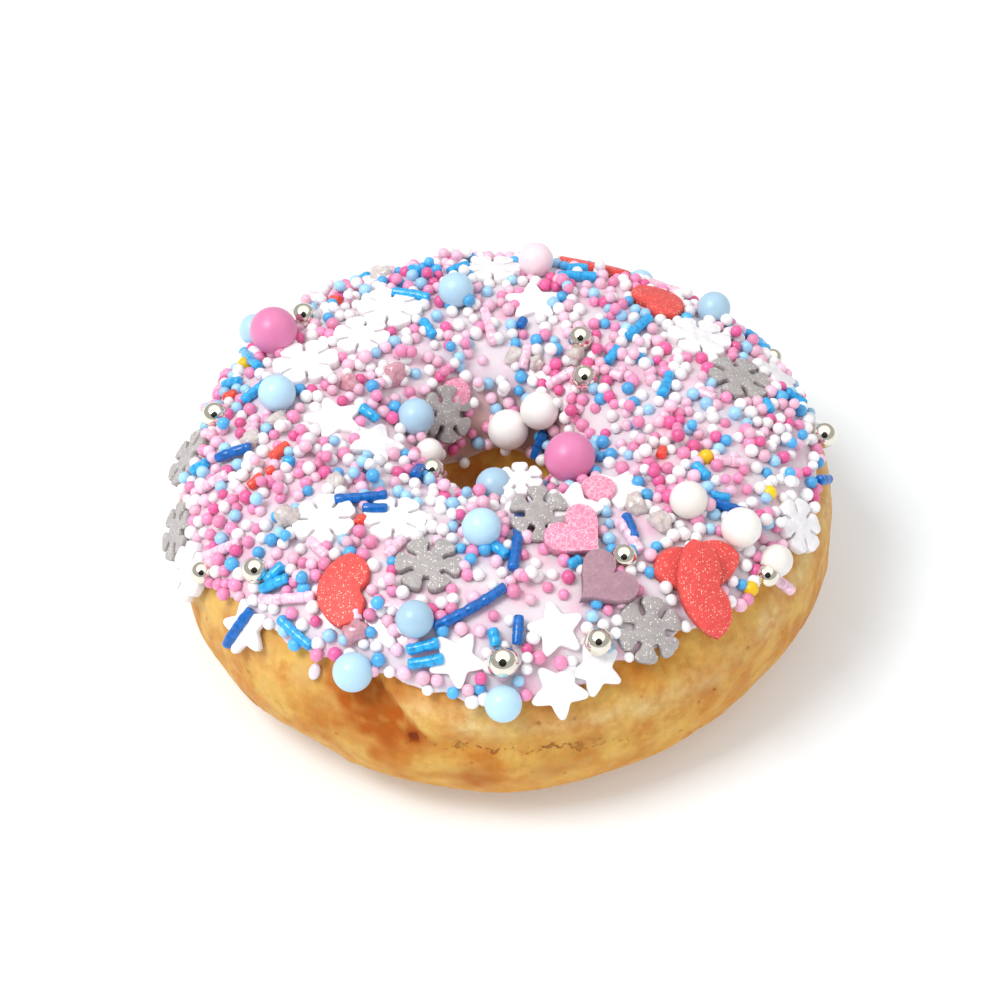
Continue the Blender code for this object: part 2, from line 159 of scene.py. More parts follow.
def dough_relief(bearing, lean, spot):
    """Lift of the dough's fold, rolls, crease, drawn-in sides, blisters and fine wrinkles."""
    off, down = beside_fold(bearing, lean)
    along_fold = smooth_step(-4, 0, down) * (1 - smooth_step(6, 12, down))
    ragged = 0.6 * noise.noise(spot / 1.5)
    dip = smooth_step(-0.6, 0.9, off + ragged) * math.exp(-max(0, off) / 5)
    fold = -FOLD_DEPTH * dip * along_fold
    roll = swelling(bearing, lean, ROLL_ABOVE_FOLD)
    crease = (-CREASE_DEPTH * bump(lean, crease_lean(bearing), CREASE_SPREAD)
              * bump(bearing, 272, 26))
    low_roll = swelling(bearing, lean, LOW_ROLL)
    undercut = swelling(bearing, lean, LEFT_UNDERCUT) + swelling(bearing, lean, RIGHT_UNDERCUT)
    blister = BLISTER_HEIGHT * max(0, noise.noise(spot / BLISTER_WIDTH)) ** 2
    wrinkle = WRINKLE_HEIGHT * noise.noise(Vector((spot.x, spot.y, 3 * spot.z)) / WRINKLE_WIDTH)
    uneven = UNEVEN_HEIGHT * noise.noise(spot / UNEVEN_WIDTH)
    skin = smooth_step(50, 62, abs(lean))
    return fold + roll + crease + low_roll + undercut + skin * (blister + wrinkle + uneven)


PITS = [  # bearing, lean, radius, depth
    (255.6, 84, 0.65, 1.3), (255.0, 87, 0.5, 0.6), (256.2, 89.5, 0.35, 0.5), (245, 87, 0.4, 0.7),
    (218, 88, 0.45, 0.5), (263, 85, 0.5, 0.5), (231, 95, 0.3, 0.5), (316, 84, 0.4, 0.45),
    (309, 92, 0.35, 0.5), (279, 90, 0.3, 0.5), (198, 94, 0.4, 0.5), (336, 90, 0.35, 0.5),
    (60, 88, 0.5, 0.6), (102, 94, 0.4, 0.6), (150, 86, 0.45, 0.6), (20, 99, 0.4, 0.5),
]


def pit_depth(spot, places):
    """Depth of the pits that reach this spot."""
    deep = 0.0
    for centre, radius, depth in places:
        deep += depth * math.exp(-((spot - centre).length / radius) ** 2)
    return deep


def bearing_of(point):
    """Bearing of a point, from 0 to 360 degrees."""
    return math.degrees(math.atan2(point.y, point.x)) % 360


def turned_loop(rows, layer_names):
    """A closed loop of profile points turned round the Z axis, each with its own numbers kept
    in layers, so that the points can be placed afterwards."""
    bm = bmesh.new()
    layers = [bm.verts.layers.float.new(name) for name in layer_names]
    loop = []
    for index, row in enumerate(rows):
        angle = 2 * math.pi * index / len(rows)
        corner = bm.verts.new((CREST_RADIUS + math.sin(angle), 0, math.cos(angle)))
        for layer, value in zip(layers, row):
            corner[layer] = value
        loop.append(corner)
    edges = [bm.edges.new((loop[index - 1], loop[index])) for index in range(len(loop))]
    bmesh.ops.spin(bm, geom=loop + edges, axis=(0, 0, 1), cent=(0, 0, 0), steps=RING_STEPS,
                   angle=2 * math.pi, use_merge=True)
    return bm, layers


def make_piece(name, bm, finish, sharp_angle=None):
    """Object in metres of a bmesh in millimetres, smooth, with its finish and its body."""
    bmesh.ops.scale(bm, vec=(MM, MM, MM), verts=bm.verts)
    bmesh.ops.recalc_face_normals(bm, faces=bm.faces)
    mesh = bpy.data.meshes.new(name)
    bm.to_mesh(mesh)
    bm.free()
    return finish_piece(name, mesh, finish, sharp_angle)


def finish_piece(name, mesh, finish, sharp_angle=None):
    """Object of a finished mesh, smooth, with its finish and its body."""
    mesh.shade_smooth()
    if sharp_angle:
        mesh.set_sharp_from_angle(angle=math.radians(sharp_angle))
    mesh.materials.append(finish)
    piece = bpy.data.objects.new(name, mesh)
    bpy.context.scene.collection.objects.link(piece)
    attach(piece, "root")
    return piece


def linear(code):
    """Linear RGBA of an sRGB hex colour."""
    parts = [int(code[index:index + 2], 16) / 255 for index in (0, 2, 4)]
    return (*[part / 12.92 if part <= 0.04045 else ((part + 0.055) / 1.055) ** 2.4
              for part in parts], 1.0)


def add_node(finish, kind, sockets, **settings):
    """Add one node to a finish, with its settings and with each socket set or linked."""
    tree = finish.node_tree
    node = tree.nodes.new("ShaderNode" + kind)
    for name, value in settings.items():
        setattr(node, name, value)
    for name, value in sockets.items():
        if isinstance(value, bpy.types.NodeSocket):
            tree.links.new(value, node.inputs[name])
        else:
            node.inputs[name].default_value = value
    return node


def new_finish(name, **constants):
    """An empty material of one Principled shader, and its constant sockets by plain names."""
    finish = bpy.data.materials.new(name)
    finish.use_nodes = True
    shader = finish.node_tree.nodes["Principled BSDF"]
    for socket, value in constants.items():
        shader.inputs[socket.replace("_", " ")].default_value = value
    return finish, shader


def fried_crust_finish():
    """Fried yeast dough, satin with a trace of fat. Mottles about 7 mm wide, streaks of 2 mm,
    grain of 1 mm, darker freckles 4 mm apart, pores of 0.7 mm in the bump, and a torn line
    0.4 mm wide that strays along the crease. Painted bounce light gives the lowest part an even
    lighter tan, and painted shade darkens the pits."""
    finish, shader = new_finish("fried_crust", Specular_IOR_Level=0.2, Subsurface_Weight=0.1,
                                Subsurface_Scale=0.002)
    shader.inputs["Subsurface Radius"].default_value = (1.0, 0.5, 0.2)
    links = finish.node_tree.links
    place = add_node(finish, "TexCoord", {}).outputs["Object"]
    mottle = add_node(finish, "TexNoise", {"Vector": place, "Scale": 1 / 0.007, "Detail": 6.0,
                                           "Roughness": 0.65})
    mottled = add_node(finish, "MapRange", {"Value": mottle.outputs["Fac"], "From Min": 0.4,
                                            "From Max": 0.6})
    golden = add_node(finish, "MixRGB", {"Fac": mottled.outputs["Result"],
                                         "Color1": linear("DAAC55"), "Color2": linear("C8812B")})
    # Painted bounce light from the table: towards the bottom the mottles give way to an even
    # lighter tan.
    height = add_node(finish, "SeparateXYZ", {"Vector": place}).outputs["Z"]
    painted_bounce = add_node(finish, "MapRange", {"Value": height, "From Min": 0.013, "From Max": 0.002})
    bounce_lit = add_node(finish, "MixRGB", {"Fac": painted_bounce.outputs["Result"],
                                        "Color1": golden.outputs["Color"],
                                        "Color2": linear("DA9E42")})
    streak = add_node(finish, "TexNoise", {"Vector": place, "Scale": 1 / 0.0022, "Detail": 4.0})
    streaked = add_node(finish, "MapRange", {"Value": streak.outputs["Fac"], "From Min": 0.35,
                                             "From Max": 0.65, "To Min": 0.35})
    pale = add_node(finish, "Attribute", {}, attribute_name="pale").outputs["Fac"]
    pale_share = add_node(finish, "Math", {0: pale, 1: streaked.outputs["Result"]},
                          operation="MULTIPLY")
    banded = add_node(finish, "MixRGB", {"Fac": pale_share.outputs["Value"],
                                         "Color1": bounce_lit.outputs["Color"],
                                         "Color2": linear("DFC48A")})
    brown = add_node(finish, "Attribute", {}, attribute_name="brown").outputs["Fac"]
    speck = add_node(finish, "TexNoise", {"Vector": place, "Scale": 1 / 0.0011, "Detail": 3.0})
    ragged = add_node(finish, "Math", {0: streak.outputs["Fac"], 1: 0.8, 2: brown},
                      operation="MULTIPLY_ADD")
    brown_share = add_node(finish, "MapRange", {"Value": ragged.outputs["Value"],
                                                "From Min": 0.45, "From Max": 1.35})
    browned = add_node(finish, "MixRGB", {"Fac": brown_share.outputs["Result"],
                                          "Color1": banded.outputs["Color"],
                                          "Color2": linear("AC560A")})
    specked = add_node(finish, "MapRange", {"Value": speck.outputs["Fac"], "From Min": 0.3,
                                            "From Max": 0.7, "To Min": 0.9, "To Max": 1.07})
    grain = add_node(finish, "MixRGB", {"Fac": 1.0, "Color1": browned.outputs["Color"],
                                        "Color2": specked.outputs["Result"]},
                     blend_type="MULTIPLY")
    cells = add_node(finish, "TexVoronoi", {"Vector": place, "Scale": 1 / 0.004})
    freckle = add_node(finish, "MapRange", {"Value": cells.outputs["Distance"],
                                            "From Min": 0.11, "From Max": 0.05,
                                            "To Max": 0.6})
    freckled = add_node(finish, "MixRGB", {"Fac": freckle.outputs["Result"],
                                           "Color1": grain.outputs["Color"],
                                           "Color2": linear("9A5518")})
    below = add_node(finish, "Attribute", {}, attribute_name="below_crease").outputs["Fac"]
    creased = add_node(finish, "Attribute", {}, attribute_name="creased").outputs["Fac"]
    wander = add_node(finish, "TexNoise", {"Vector": place, "Scale": 1 / 0.0028, "Detail": 4.0,
                                           "Roughness": 0.6})
    wandering = add_node(finish, "MapRange", {"Value": wander.outputs["Fac"], "To Min": -3.0,
                                              "To Max": 3.0})
    strayed = add_node(finish, "Math", {0: below, 1: wandering.outputs["Result"]},
                       operation="ADD")
    from_line = add_node(finish, "Math", {0: strayed.outputs["Value"]}, operation="ABSOLUTE")
    line = add_node(finish, "MapRange", {"Value": from_line.outputs["Value"], "From Min": 0.36,
                                         "From Max": 0.04})
    broken = add_node(finish, "MapRange", {"Value": speck.outputs["Fac"], "From Min": 0.47,
                                           "From Max": 0.57})
    torn_line = add_node(finish, "Math", {0: line.outputs["Result"], 1: broken.outputs["Result"]},
                         operation="MULTIPLY")
    front_line = add_node(finish, "Math", {0: torn_line.outputs["Value"], 1: creased},
                          operation="MULTIPLY")
    lined = add_node(finish, "MixRGB", {"Fac": front_line.outputs["Value"],
                                        "Color1": freckled.outputs["Color"],
                                        "Color2": linear("A65C20")})
    # Painted shade in the pits: darker brown the deeper the pit.
    pitted = add_node(finish, "Attribute", {}, attribute_name="pitted").outputs["Fac"]
    pit_edge = add_node(finish, "Math", {0: speck.outputs["Fac"], 1: 0.5, 2: pitted},
                        operation="MULTIPLY_ADD")
    painted_pit_shade = add_node(finish, "MapRange", {"Value": pit_edge.outputs["Value"], "From Min": 0.6,
                                        "From Max": 0.95})
    coloured = add_node(finish, "MixRGB", {"Fac": painted_pit_shade.outputs["Result"],
                                           "Color1": lined.outputs["Color"],
                                           "Color2": linear("7A3408")})
    links.new(coloured.outputs["Color"], shader.inputs["Base Color"])
    fat = add_node(finish, "MapRange", {"Value": streak.outputs["Fac"], "From Min": 0.4,
                                        "From Max": 0.6, "To Min": 0.45, "To Max": 0.65})
    links.new(fat.outputs["Result"], shader.inputs["Roughness"])
    pores = add_node(finish, "TexNoise", {"Vector": place, "Scale": 1 / 0.0007, "Detail": 4.0})
    groove = add_node(finish, "Bump", {"Height": front_line.outputs["Value"], "Strength": 0.8,
                                       "Distance": 0.0005}, invert=True)
    relief = add_node(finish, "Bump", {"Height": pores.outputs["Fac"], "Strength": 0.35,
                                       "Distance": 0.0003, "Normal": groove.outputs["Normal"]})
    links.new(relief.outputs["Normal"], shader.inputs["Normal"])
    return finish


def paleness(bearing, lean, spot):
    """The pale band round the girth, in patches and fainter at the front left."""
    band_lean = 71 + 11 * bump(bearing, 300, 20)
    patches = smooth_step(-0.25, 0.4, noise.noise(Vector((spot.x, spot.y, 2 * spot.z)) / 6))
    paler = 0.45 + 0.75 * (1 - bump(bearing, 240, 55)) + 0.5 * bump(bearing, 264, 12)
    return min(1.0, paler * bump(lean, band_lean, 9) * (0.3 + 0.7 * patches))


def browning(bearing, lean, spot):
    """Deeper browning: at the fold's lower left, along the crease, and in patches about 7 mm
    wide."""
    off, down = beside_fold(bearing, lean)
    browned = 1.3 * smooth_step(-0.3, 1.2, off) * math.exp(-max(0, off - 5) / 5)
    browned *= smooth_step(-7, -1, down) * (1 - smooth_step(9, 16, down))
    browned *= 0.95 + 0.9 * noise.noise(spot / 1.8)
    browned += 1.1 * max(0, noise.noise(spot / 7 + Vector((5, 0, 0))) - 0.1)
    browned += 0.25 * bump(lean, crease_lean(bearing), CREASE_SPREAD) * bump(bearing, 272, 24)
    return min(1.0, 0.85 * browned)


def make_dough():
    """The turned, uneven ring, with its pale band and browned places kept as attributes."""
    rows = [(360 * step / DOUGH_SECTION_STEPS - 180,) for step in range(DOUGH_SECTION_STEPS)]
    bm, (lean_layer,) = turned_loop(rows, ["lean"])
    pale_layer = bm.verts.layers.float.new("pale")
    brown_layer = bm.verts.layers.float.new("brown")
    pitted_layer = bm.verts.layers.float.new("pitted")
    below_layer = bm.verts.layers.float.new("below_crease")
    creased_layer = bm.verts.layers.float.new("creased")
    pits = [(ring_point(bearing, lean), radius, depth) for bearing, lean, radius, depth in PITS]
    for corner in bm.verts:
        bearing, lean = bearing_of(corner.co), corner[lean_layer]
        spot = ring_point(bearing, lean)
        lift = icing_seat(lean) + dough_relief(bearing, lean, spot)
        deep = pit_depth(spot, pits) if 60 < lean < 110 else 0.0
        corner.co = ring_point(bearing, lean, lift - deep)
        corner.co.z = max(0.0, corner.co.z)
        corner[pale_layer] = paleness(bearing, lean, spot)
        corner[brown_layer] = browning(bearing, lean, spot)
        # Depth of the pits, for the painted shade in them.
        corner[pitted_layer] = min(1.0, 1.3 * deep)
        corner[below_layer] = MM_PER_LEAN * (lean - 3 - crease_lean(bearing))
        corner[creased_layer] = bump(bearing, 273, 15)
    dough = make_piece("fried_ring", bm, fried_crust_finish())
    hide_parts("dough_ring")


make_dough()


# Icing. A skin of white sugar icing about a millimetre thick: the warm top of the ring was dipped
# in it, so it follows the dough, ends in a slow wavy edge and ran down once at the left. It has
# set glossy and a little see-through, with pink drawn into it from the beads.
ICING_OUTER_LEAN = 58.5
ICING_INNER_LEAN = -78.0
ICING_ROWS = 64
UNDER_ROWS = 24
UNDER_DEPTH = 0.06
EDGE_SHARE = 0.03
RUNS = [  # degrees of lean that the edge runs lower, bearing, spread
    (4.0, 187, 7), (17.0, 203, 8.5), (3.5, 214, 5), (-6.0, 243, 5), (-2.5, 250, 3),
    (3.5, 265, 5), (4.0, 278, 3), (-5.0, 290.5, 2.5), (-2.5, 303, 5), (-5.5, 334, 3),
    (3.5, 343, 4),
]
EDGE_ROUND = [(0.0, 0.15), (0.002, 0.5), (0.007, 0.8), (0.016, 0.95)]


def icing_point(bearing, lean, lift=0.0):
    """The point on the top of the icing, lifted off it."""
    return ring_point(bearing, lean, icing_seat(lean) + DOUGH_SUNK_UNDER_ICING + lift)


def outer_edge(bearing):
    """Lean of the icing's lower edge: slow waves, a fine ripple, and where it ran or stopped."""
    angle = math.radians(bearing)
    waves = 1.5 * math.sin(3 * angle + 0.7) + 1.0 * math.sin(8 * angle)
    ripple = 0.7 * math.sin(41 * angle) + 0.5 * math.sin(67 * angle + 1)
    runs = sum(length * bump(bearing, middle, spread) for length, middle, spread in RUNS)
    return ICING_OUTER_LEAN + waves + ripple + runs


def inner_edge(bearing):
    """Lean of the icing's edge inside the hole."""
    angle = math.radians(bearing)
    return ICING_INNER_LEAN + 2.5 * math.sin(2 * angle + 1) + 1.5 * math.sin(5 * angle)


def sugar_glaze_finish():
    """Set sugar icing: glossy and a little see-through. Pink drawn in from the beads shows as
    stains about 4 mm wide, and deeper in the hole a brownish tone is mixed in as painted shade."""
    finish, shader = new_finish("sugar_glaze", Roughness=0.2, Subsurface_Weight=0.35,
                                Subsurface_Scale=0.0012, Coat_Weight=0.4, Coat_Roughness=0.08)
    shader.inputs["Subsurface Radius"].default_value = (1.0, 0.7, 0.8)
    place = add_node(finish, "TexCoord", {}).outputs["Object"]
    stain = add_node(finish, "TexNoise", {"Vector": place, "Scale": 1 / 0.004, "Detail": 3.0})
    stained = add_node(finish, "MapRange", {"Value": stain.outputs["Fac"], "From Min": 0.46,
                                            "From Max": 0.66})
    colour = add_node(finish, "MixRGB", {"Fac": stained.outputs["Result"],
                                         "Color1": linear("E3D8DE"), "Color2": linear("EAC3D3")})
    # Painted shade: deeper in the hole the icing turns brownish.
    hole_shade = add_node(finish, "Attribute", {}, attribute_name="hole_shade").outputs["Fac"]
    shaded_in_hole = add_node(finish, "MixRGB", {"Fac": hole_shade, "Color1": colour.outputs["Color"],
                                         "Color2": linear("B8917F")})
    finish.node_tree.links.new(shaded_in_hole.outputs["Color"], shader.inputs["Base Color"])
    ripple = add_node(finish, "TexNoise", {"Vector": place, "Scale": 1 / 0.002, "Detail": 2.0})
    relief = add_node(finish, "Bump", {"Height": ripple.outputs["Fac"], "Strength": 0.25,
                                       "Distance": 0.0003})
    finish.node_tree.links.new(relief.outputs["Normal"], shader.inputs["Normal"])
    return finish


def make_icing():
    """The closed skin: a top with rounded edges and an underside that just meets the dough."""
    top = [(share, ICING_THICKNESS * lift) for share, lift in EDGE_ROUND]
    for step in range(ICING_ROWS + 1):
        top.append((EDGE_SHARE + (1 - 2 * EDGE_SHARE) * step / ICING_ROWS, ICING_THICKNESS))
    top += [(1 - share, ICING_THICKNESS * lift) for share, lift in reversed(EDGE_ROUND)]
    under = [(1 - step / UNDER_ROWS, -UNDER_DEPTH) for step in range(UNDER_ROWS + 1)]
    bm, (share_layer, lift_layer) = turned_loop(top + under, ["share", "lift"])
    hole_shade_layer = bm.verts.layers.float.new("hole_shade")
    for corner in bm.verts:
        bearing, share, lift = bearing_of(corner.co), corner[share_layer], corner[lift_layer]
        lean = inner_edge(bearing) + share * (outer_edge(bearing) - inner_edge(bearing))
        # Share of the painted shade, growing with depth into the hole.
        corner[hole_shade_layer] = 0.75 * smooth_step(38, 66, -lean)
        spot = ring_point(bearing, lean)
        seat_lift = icing_seat(lean) + dough_relief(bearing, lean, spot)
        swell = 0.25 * noise.noise(spot / 5) if lift > 0.5 else 0.0
        gap = DOUGH_SUNK_UNDER_ICING - ICING_THICKNESS
        corner.co = ring_point(bearing, lean, seat_lift + (gap if lift > 0 else 0) + lift + swell)
    return make_piece("icing_skin", bm, sugar_glaze_finish())


def seat(bearing, lean, lift=0.0):
    """Matrix that lays a topping on the icing: Z out of it and X down the side."""
    down = (icing_point(bearing, lean + 1) - icing_point(bearing, lean - 1)).normalized()
    along = (icing_point(bearing + 1, lean) - icing_point(bearing - 1, lean)).normalized()
    out = down.cross(along).normalized()
    axes = Matrix((down, out.cross(down), out)).transposed().to_4x4()
    return Matrix.Translation(icing_point(bearing, lean) + lift * out) @ axes


DROP_PLACE = (237.5, 65)
DROP_HALF_SIZES = (1.2, 0.85, 0.6)
DROP_SUNK = 0.6


def make_drop():
    """A small drop of icing that fell on the bare dough below the edge."""
    bm = bmesh.new()
    bmesh.ops.create_icosphere(bm, subdivisions=3, radius=1.0)
    bmesh.ops.scale(bm, vec=DROP_HALF_SIZES, verts=bm.verts)
    bm.transform(seat(*DROP_PLACE, -DROP_SUNK))
    return make_piece("icing_drop", bm, icing.data.materials[0])


icing = make_icing()
toppings = [icing, make_drop()]
covered = []    # centre and radius, in millimetres, of what the small beads keep clear of


# Large pearls. Smooth polished sugar balls 4 to 7 mm across, pastel blue, pink and cream,
# pressed into the wet icing so that each stands proud by nearly its whole height.
SUNK = 0.35
SKY_PEARLS = [  # bearing, lean, diameter
    (104, 1, 5.3), (174, 15, 5.4), (253.5, 34.5, 5.1), (144.5, 55, 4.9), (245, 58, 5.4),
    (169, -42, 5.3), (264.5, -6, 5.4), (270, 62.5, 5.0), (268, -44, 5.2), (39.6, 37.5, 5.0),
    (63, 66, 4.4),
]
ROSE_PEARLS = [(151.2, 29.5, 7.0), (319, -36, 7.2)]
BLUSH_PEARLS = [(81.3, 22, 5.3), (128, 69, 4.6)]
CREAM_PEARLS = [
    (49, -53, 5.6), (77, -64, 6.0), (324, 15, 5.3), (326.5, 34.5, 5.6), (190, -52, 4.0),
    (328, 52, 4.6), (98, 63, 4.6),
]


def polished_sugar_finish(name, colour, roughness=0.38):
    """Panned sugar shell, polished with wax: soft gloss and a little light in its depth, with
    each ball's own tone and very slight dimples 0.6 mm wide."""
    finish, shader = new_finish(name, Roughness=roughness, Subsurface_Weight=0.5,
                                Subsurface_Scale=0.001, Coat_Weight=0.08, Coat_Roughness=0.2)
    shader.inputs["Subsurface Radius"].default_value = (1.0, 0.8, 0.8)
    tone = add_node(finish, "Attribute", {}, attribute_name="tone").outputs["Fac"]
    shade = add_node(finish, "MapRange", {"Value": tone, "To Min": 0.84, "To Max": 1.08})
    toned = add_node(finish, "MixRGB", {"Fac": 1.0, "Color1": linear(colour),
                                        "Color2": shade.outputs["Result"]},
                     blend_type="MULTIPLY")
    finish.node_tree.links.new(toned.outputs["Color"], shader.inputs["Base Color"])
    place = add_node(finish, "TexCoord", {}).outputs["Object"]
    dimples = add_node(finish, "TexNoise", {"Vector": place, "Scale": 1 / 0.0006, "Detail": 1.0})
    relief = add_node(finish, "Bump", {"Height": dimples.outputs["Fac"], "Strength": 0.12,
                                       "Distance": 0.0001})
    finish.node_tree.links.new(relief.outputs["Normal"], shader.inputs["Normal"])
    return finish


def joined_copies(name, shape, places, finish, draw):
    """One piece of a shape repeated at many places, each copy with its own tone from 0 to 1."""
    shape.verts.index_update()
    corners = np.array([(*corner.co, 1.0) for corner in shape.verts])
    faces = [[corner.index for corner in face.verts] for face in shape.faces]
    shape.free()
    spots = np.concatenate([corners @ np.array(place).T for place in places])[:, :3] * MM
    mesh = bpy.data.meshes.new(name)
    mesh.from_pydata(spots.tolist(), [], [[corner + copy * len(corners) for corner in face]
                                          for copy in range(len(places)) for face in faces])
    tones = np.repeat([draw.random() for _ in places], len(corners))
    mesh.attributes.new("tone", "FLOAT", "POINT").data.foreach_set("value", tones)
    piece = finish_piece(name, mesh, finish)
    toppings.append(piece)


def ball(fineness):
    """A ball 1 mm across."""
    bm = bmesh.new()
    bmesh.ops.create_icosphere(bm, subdivisions=fineness, radius=0.5)
    return bm


def make_balls(name, places, finish, seed):
    """Balls pressed into the icing, or past its edge stuck to the dough, each turned its own
    way."""
    draw = random.Random(seed)
    matrices = []
    for bearing, lean, diameter in places:
        past_edge = smooth_step(0, 2.5, lean - outer_edge(bearing))
        spot = seat(bearing, lean, diameter / 2 - SUNK - 0.9 * ICING_THICKNESS * past_edge)
        turned = Matrix.Rotation(draw.uniform(0, 6), 4, "X")
        matrices.append(spot @ turned @ Matrix.Scale(diameter, 4))
        covered.append((spot.translation, diameter / 2))
    joined_copies(name, ball(4), matrices, finish, draw)


make_balls("pearls_sky", SKY_PEARLS, polished_sugar_finish("pearl_sky", "B9DCF1"), 1)
make_balls("pearls_rose", ROSE_PEARLS, polished_sugar_finish("pearl_rose", "EF8DBD"), 2)
make_balls("pearls_blush", BLUSH_PEARLS, polished_sugar_finish("pearl_blush", "FAE4EB"), 3)
make_balls("pearls_cream", CREAM_PEARLS, polished_sugar_finish("pearl_cream", "FBF6F0"), 4)


# Silver balls. Sugar balls of 3.2 to 4.3 mm with a mirror skin of edible silver: they reflect
# the white room and the beads round them.
SILVER_BALLS = [  # bearing, lean, diameter
    (141, 30, 3.7), (174.5, 42, 3.8), (54, -19, 3.7), (37, -33, 3.8), (218, -46, 3.6),
    (219, 44, 3.7), (208.5, 63, 3.2), (270, 47, 4.3), (287.5, 45, 3.8), (300, 19, 3.6),
    (5, 58, 3.8), (325, 54, 3.4), (112, 64, 3.4), (82, 66, 3.4), (31, 66, 3.2),
]


def silver_finish():
    """Silver leaf on sugar: a mirror with faint waves a millimetre wide, slightly warm."""
    finish, shader = new_finish("silver_skin", Metallic=1.0, Roughness=0.07)
    place = add_node(finish, "TexCoord", {}).outputs["Object"]
    waves = add_node(finish, "TexNoise", {"Vector": place, "Scale": 1 / 0.0012, "Detail": 1.0})
    colour = add_node(finish, "MixRGB", {"Fac": waves.outputs["Fac"],
                                         "Color1": linear("F4EFE2"), "Color2": linear("E4DCCB")})
    finish.node_tree.links.new(colour.outputs["Color"], shader.inputs["Base Color"])
    relief = add_node(finish, "Bump", {"Height": waves.outputs["Fac"], "Strength": 0.1,
                                       "Distance": 0.0001})
    finish.node_tree.links.new(relief.outputs["Normal"], shader.inputs["Normal"])
    return finish


make_balls("silver_balls", SILVER_BALLS, silver_finish(), 5)


# Snowflakes. Pressed sugar paste 1.3 mm thick and mostly 8 to 10 mm across, with six broad petals
# and narrow slots between them, plain white or grey with glitter. Nearly all lie flat, stuck to
# the icing.
FLAKE_THICKNESS = 1.3
PLATE_SHARP_ANGLE = 40
# bearing, lean, turn, diameter, and where they aren't flat, lift and how far they are tipped up
GREY_FLAKES = [
    (252, 11, 10, 9.2), (298, 47, 0, 9.2), (284, -12, 20, 8.2, 0, 30), (15.5, 23.5, 25, 9.4),
    (137, -53, 0, 8.6, 0.9, 0), (179, 61, 30, 9.0), (194, 71, 10, 8.6), (45, 66, 40, 9.0),
]
WHITE_FLAKES = [
    (157, 12, 0, 9.8), (124, 7, 20, 9.8), (139, 1, 0, 8.4), (221, 13, 15, 9.0),
    (32, 20, 0, 9.6), (340, 54, 20, 8.2), (204, 71, 0, 8.6), (92, 22, 0, 8.8),
    (236, -5, 30, 8.8), (90, 58, 10, 9.0), (141, 56, 0, 8.8), (286, -42, 15, 6.4, 0.5, 40),
]


def pressed_sugar_finish(name, colour, fleck, fleck_share, veined=0.0, side_shade=0.5):
    """Pressed sugar paste: matt, with a fine grain of a third of a millimetre, flecks of glitter
    0.2 mm wide, and in some a crackle of pale fibres a millimetre apart. Its sides are darker:
    painted shade on the side walls."""
    finish, shader = new_finish(name, Roughness=0.55, Subsurface_Weight=0.2,
                                Subsurface_Scale=0.0006, Specular_IOR_Level=0.4)
    shader.inputs["Subsurface Radius"].default_value = (1.0, 0.8, 0.8)
    place = add_node(finish, "TexCoord", {}).outputs["Object"]
    cells = add_node(finish, "TexVoronoi", {"Vector": place, "Scale": 1 / 0.0003})
    chance = add_node(finish, "SeparateColor", {"Color": cells.outputs["Color"]})
    chosen = add_node(finish, "Math", {0: chance.outputs["Red"], 1: 1 - fleck_share},
                      operation="GREATER_THAN")
    near = add_node(finish, "Math", {0: cells.outputs["Distance"], 1: 0.33},
                    operation="LESS_THAN")
    shown = add_node(finish, "Math", {0: chosen.outputs["Value"], 1: near.outputs["Value"]},
                     operation="MULTIPLY")
    grain = add_node(finish, "TexNoise", {"Vector": place, "Scale": 1 / 0.0012, "Detail": 4.0})
    shade = add_node(finish, "MapRange", {"Value": grain.outputs["Fac"], "From Min": 0.3,
                                          "From Max": 0.7, "To Min": 0.9, "To Max": 1.06})
    grained = add_node(finish, "MixRGB", {"Fac": 1.0, "Color1": linear(colour),
                                          "Color2": shade.outputs["Result"]},
                       blend_type="MULTIPLY")
    warp = add_node(finish, "TexNoise", {"Vector": place, "Scale": 1 / 0.0015})
    warped = add_node(finish, "VectorMath", {0: warp.outputs["Color"], 1: (0.0012,) * 3, 2: place},
                      operation="MULTIPLY_ADD")
    crackle = add_node(finish, "TexVoronoi", {"Vector": warped.outputs["Vector"],
                                              "Scale": 1 / 0.0009}, feature="DISTANCE_TO_EDGE")
    fibre = add_node(finish, "MapRange", {"Value": crackle.outputs["Distance"], "From Min": 0.09,
                                          "From Max": 0.03, "To Max": veined})
    fibred = add_node(finish, "MixRGB", {"Fac": fibre.outputs["Result"],
                                         "Color1": grained.outputs["Color"],
                                         "Color2": linear(fleck)})
    mixed = add_node(finish, "MixRGB", {"Fac": shown.outputs["Value"],
                                        "Color1": fibred.outputs["Color"],
                                        "Color2": linear(fleck)})
    # Painted shade: the side walls are darkened towards their foot, down to side_shade.
    side = add_node(finish, "Attribute", {}, attribute_name="side").outputs["Fac"]
    painted_side_shade = add_node(finish, "MapRange", {"Value": side, "To Min": 1.0, "To Max": side_shade})
    shaded = add_node(finish, "MixRGB", {"Fac": 1.0, "Color1": mixed.outputs["Color"],
                                         "Color2": painted_side_shade.outputs["Result"]},
                      blend_type="MULTIPLY")
    finish.node_tree.links.new(shaded.outputs["Color"], shader.inputs["Base Color"])
    gloss = add_node(finish, "MapRange", {"Value": shown.outputs["Value"], "To Min": 0.55,
                                          "To Max": 0.2})
    finish.node_tree.links.new(gloss.outputs["Result"], shader.inputs["Roughness"])
    fine = add_node(finish, "TexNoise", {"Vector": place, "Scale": 1 / 0.0003, "Detail": 3.0})
    relief = add_node(finish, "Bump", {"Height": fine.outputs["Fac"], "Strength": 0.3,
                                       "Distance": 0.00012})
    finish.node_tree.links.new(relief.outputs["Normal"], shader.inputs["Normal"])
    return finish


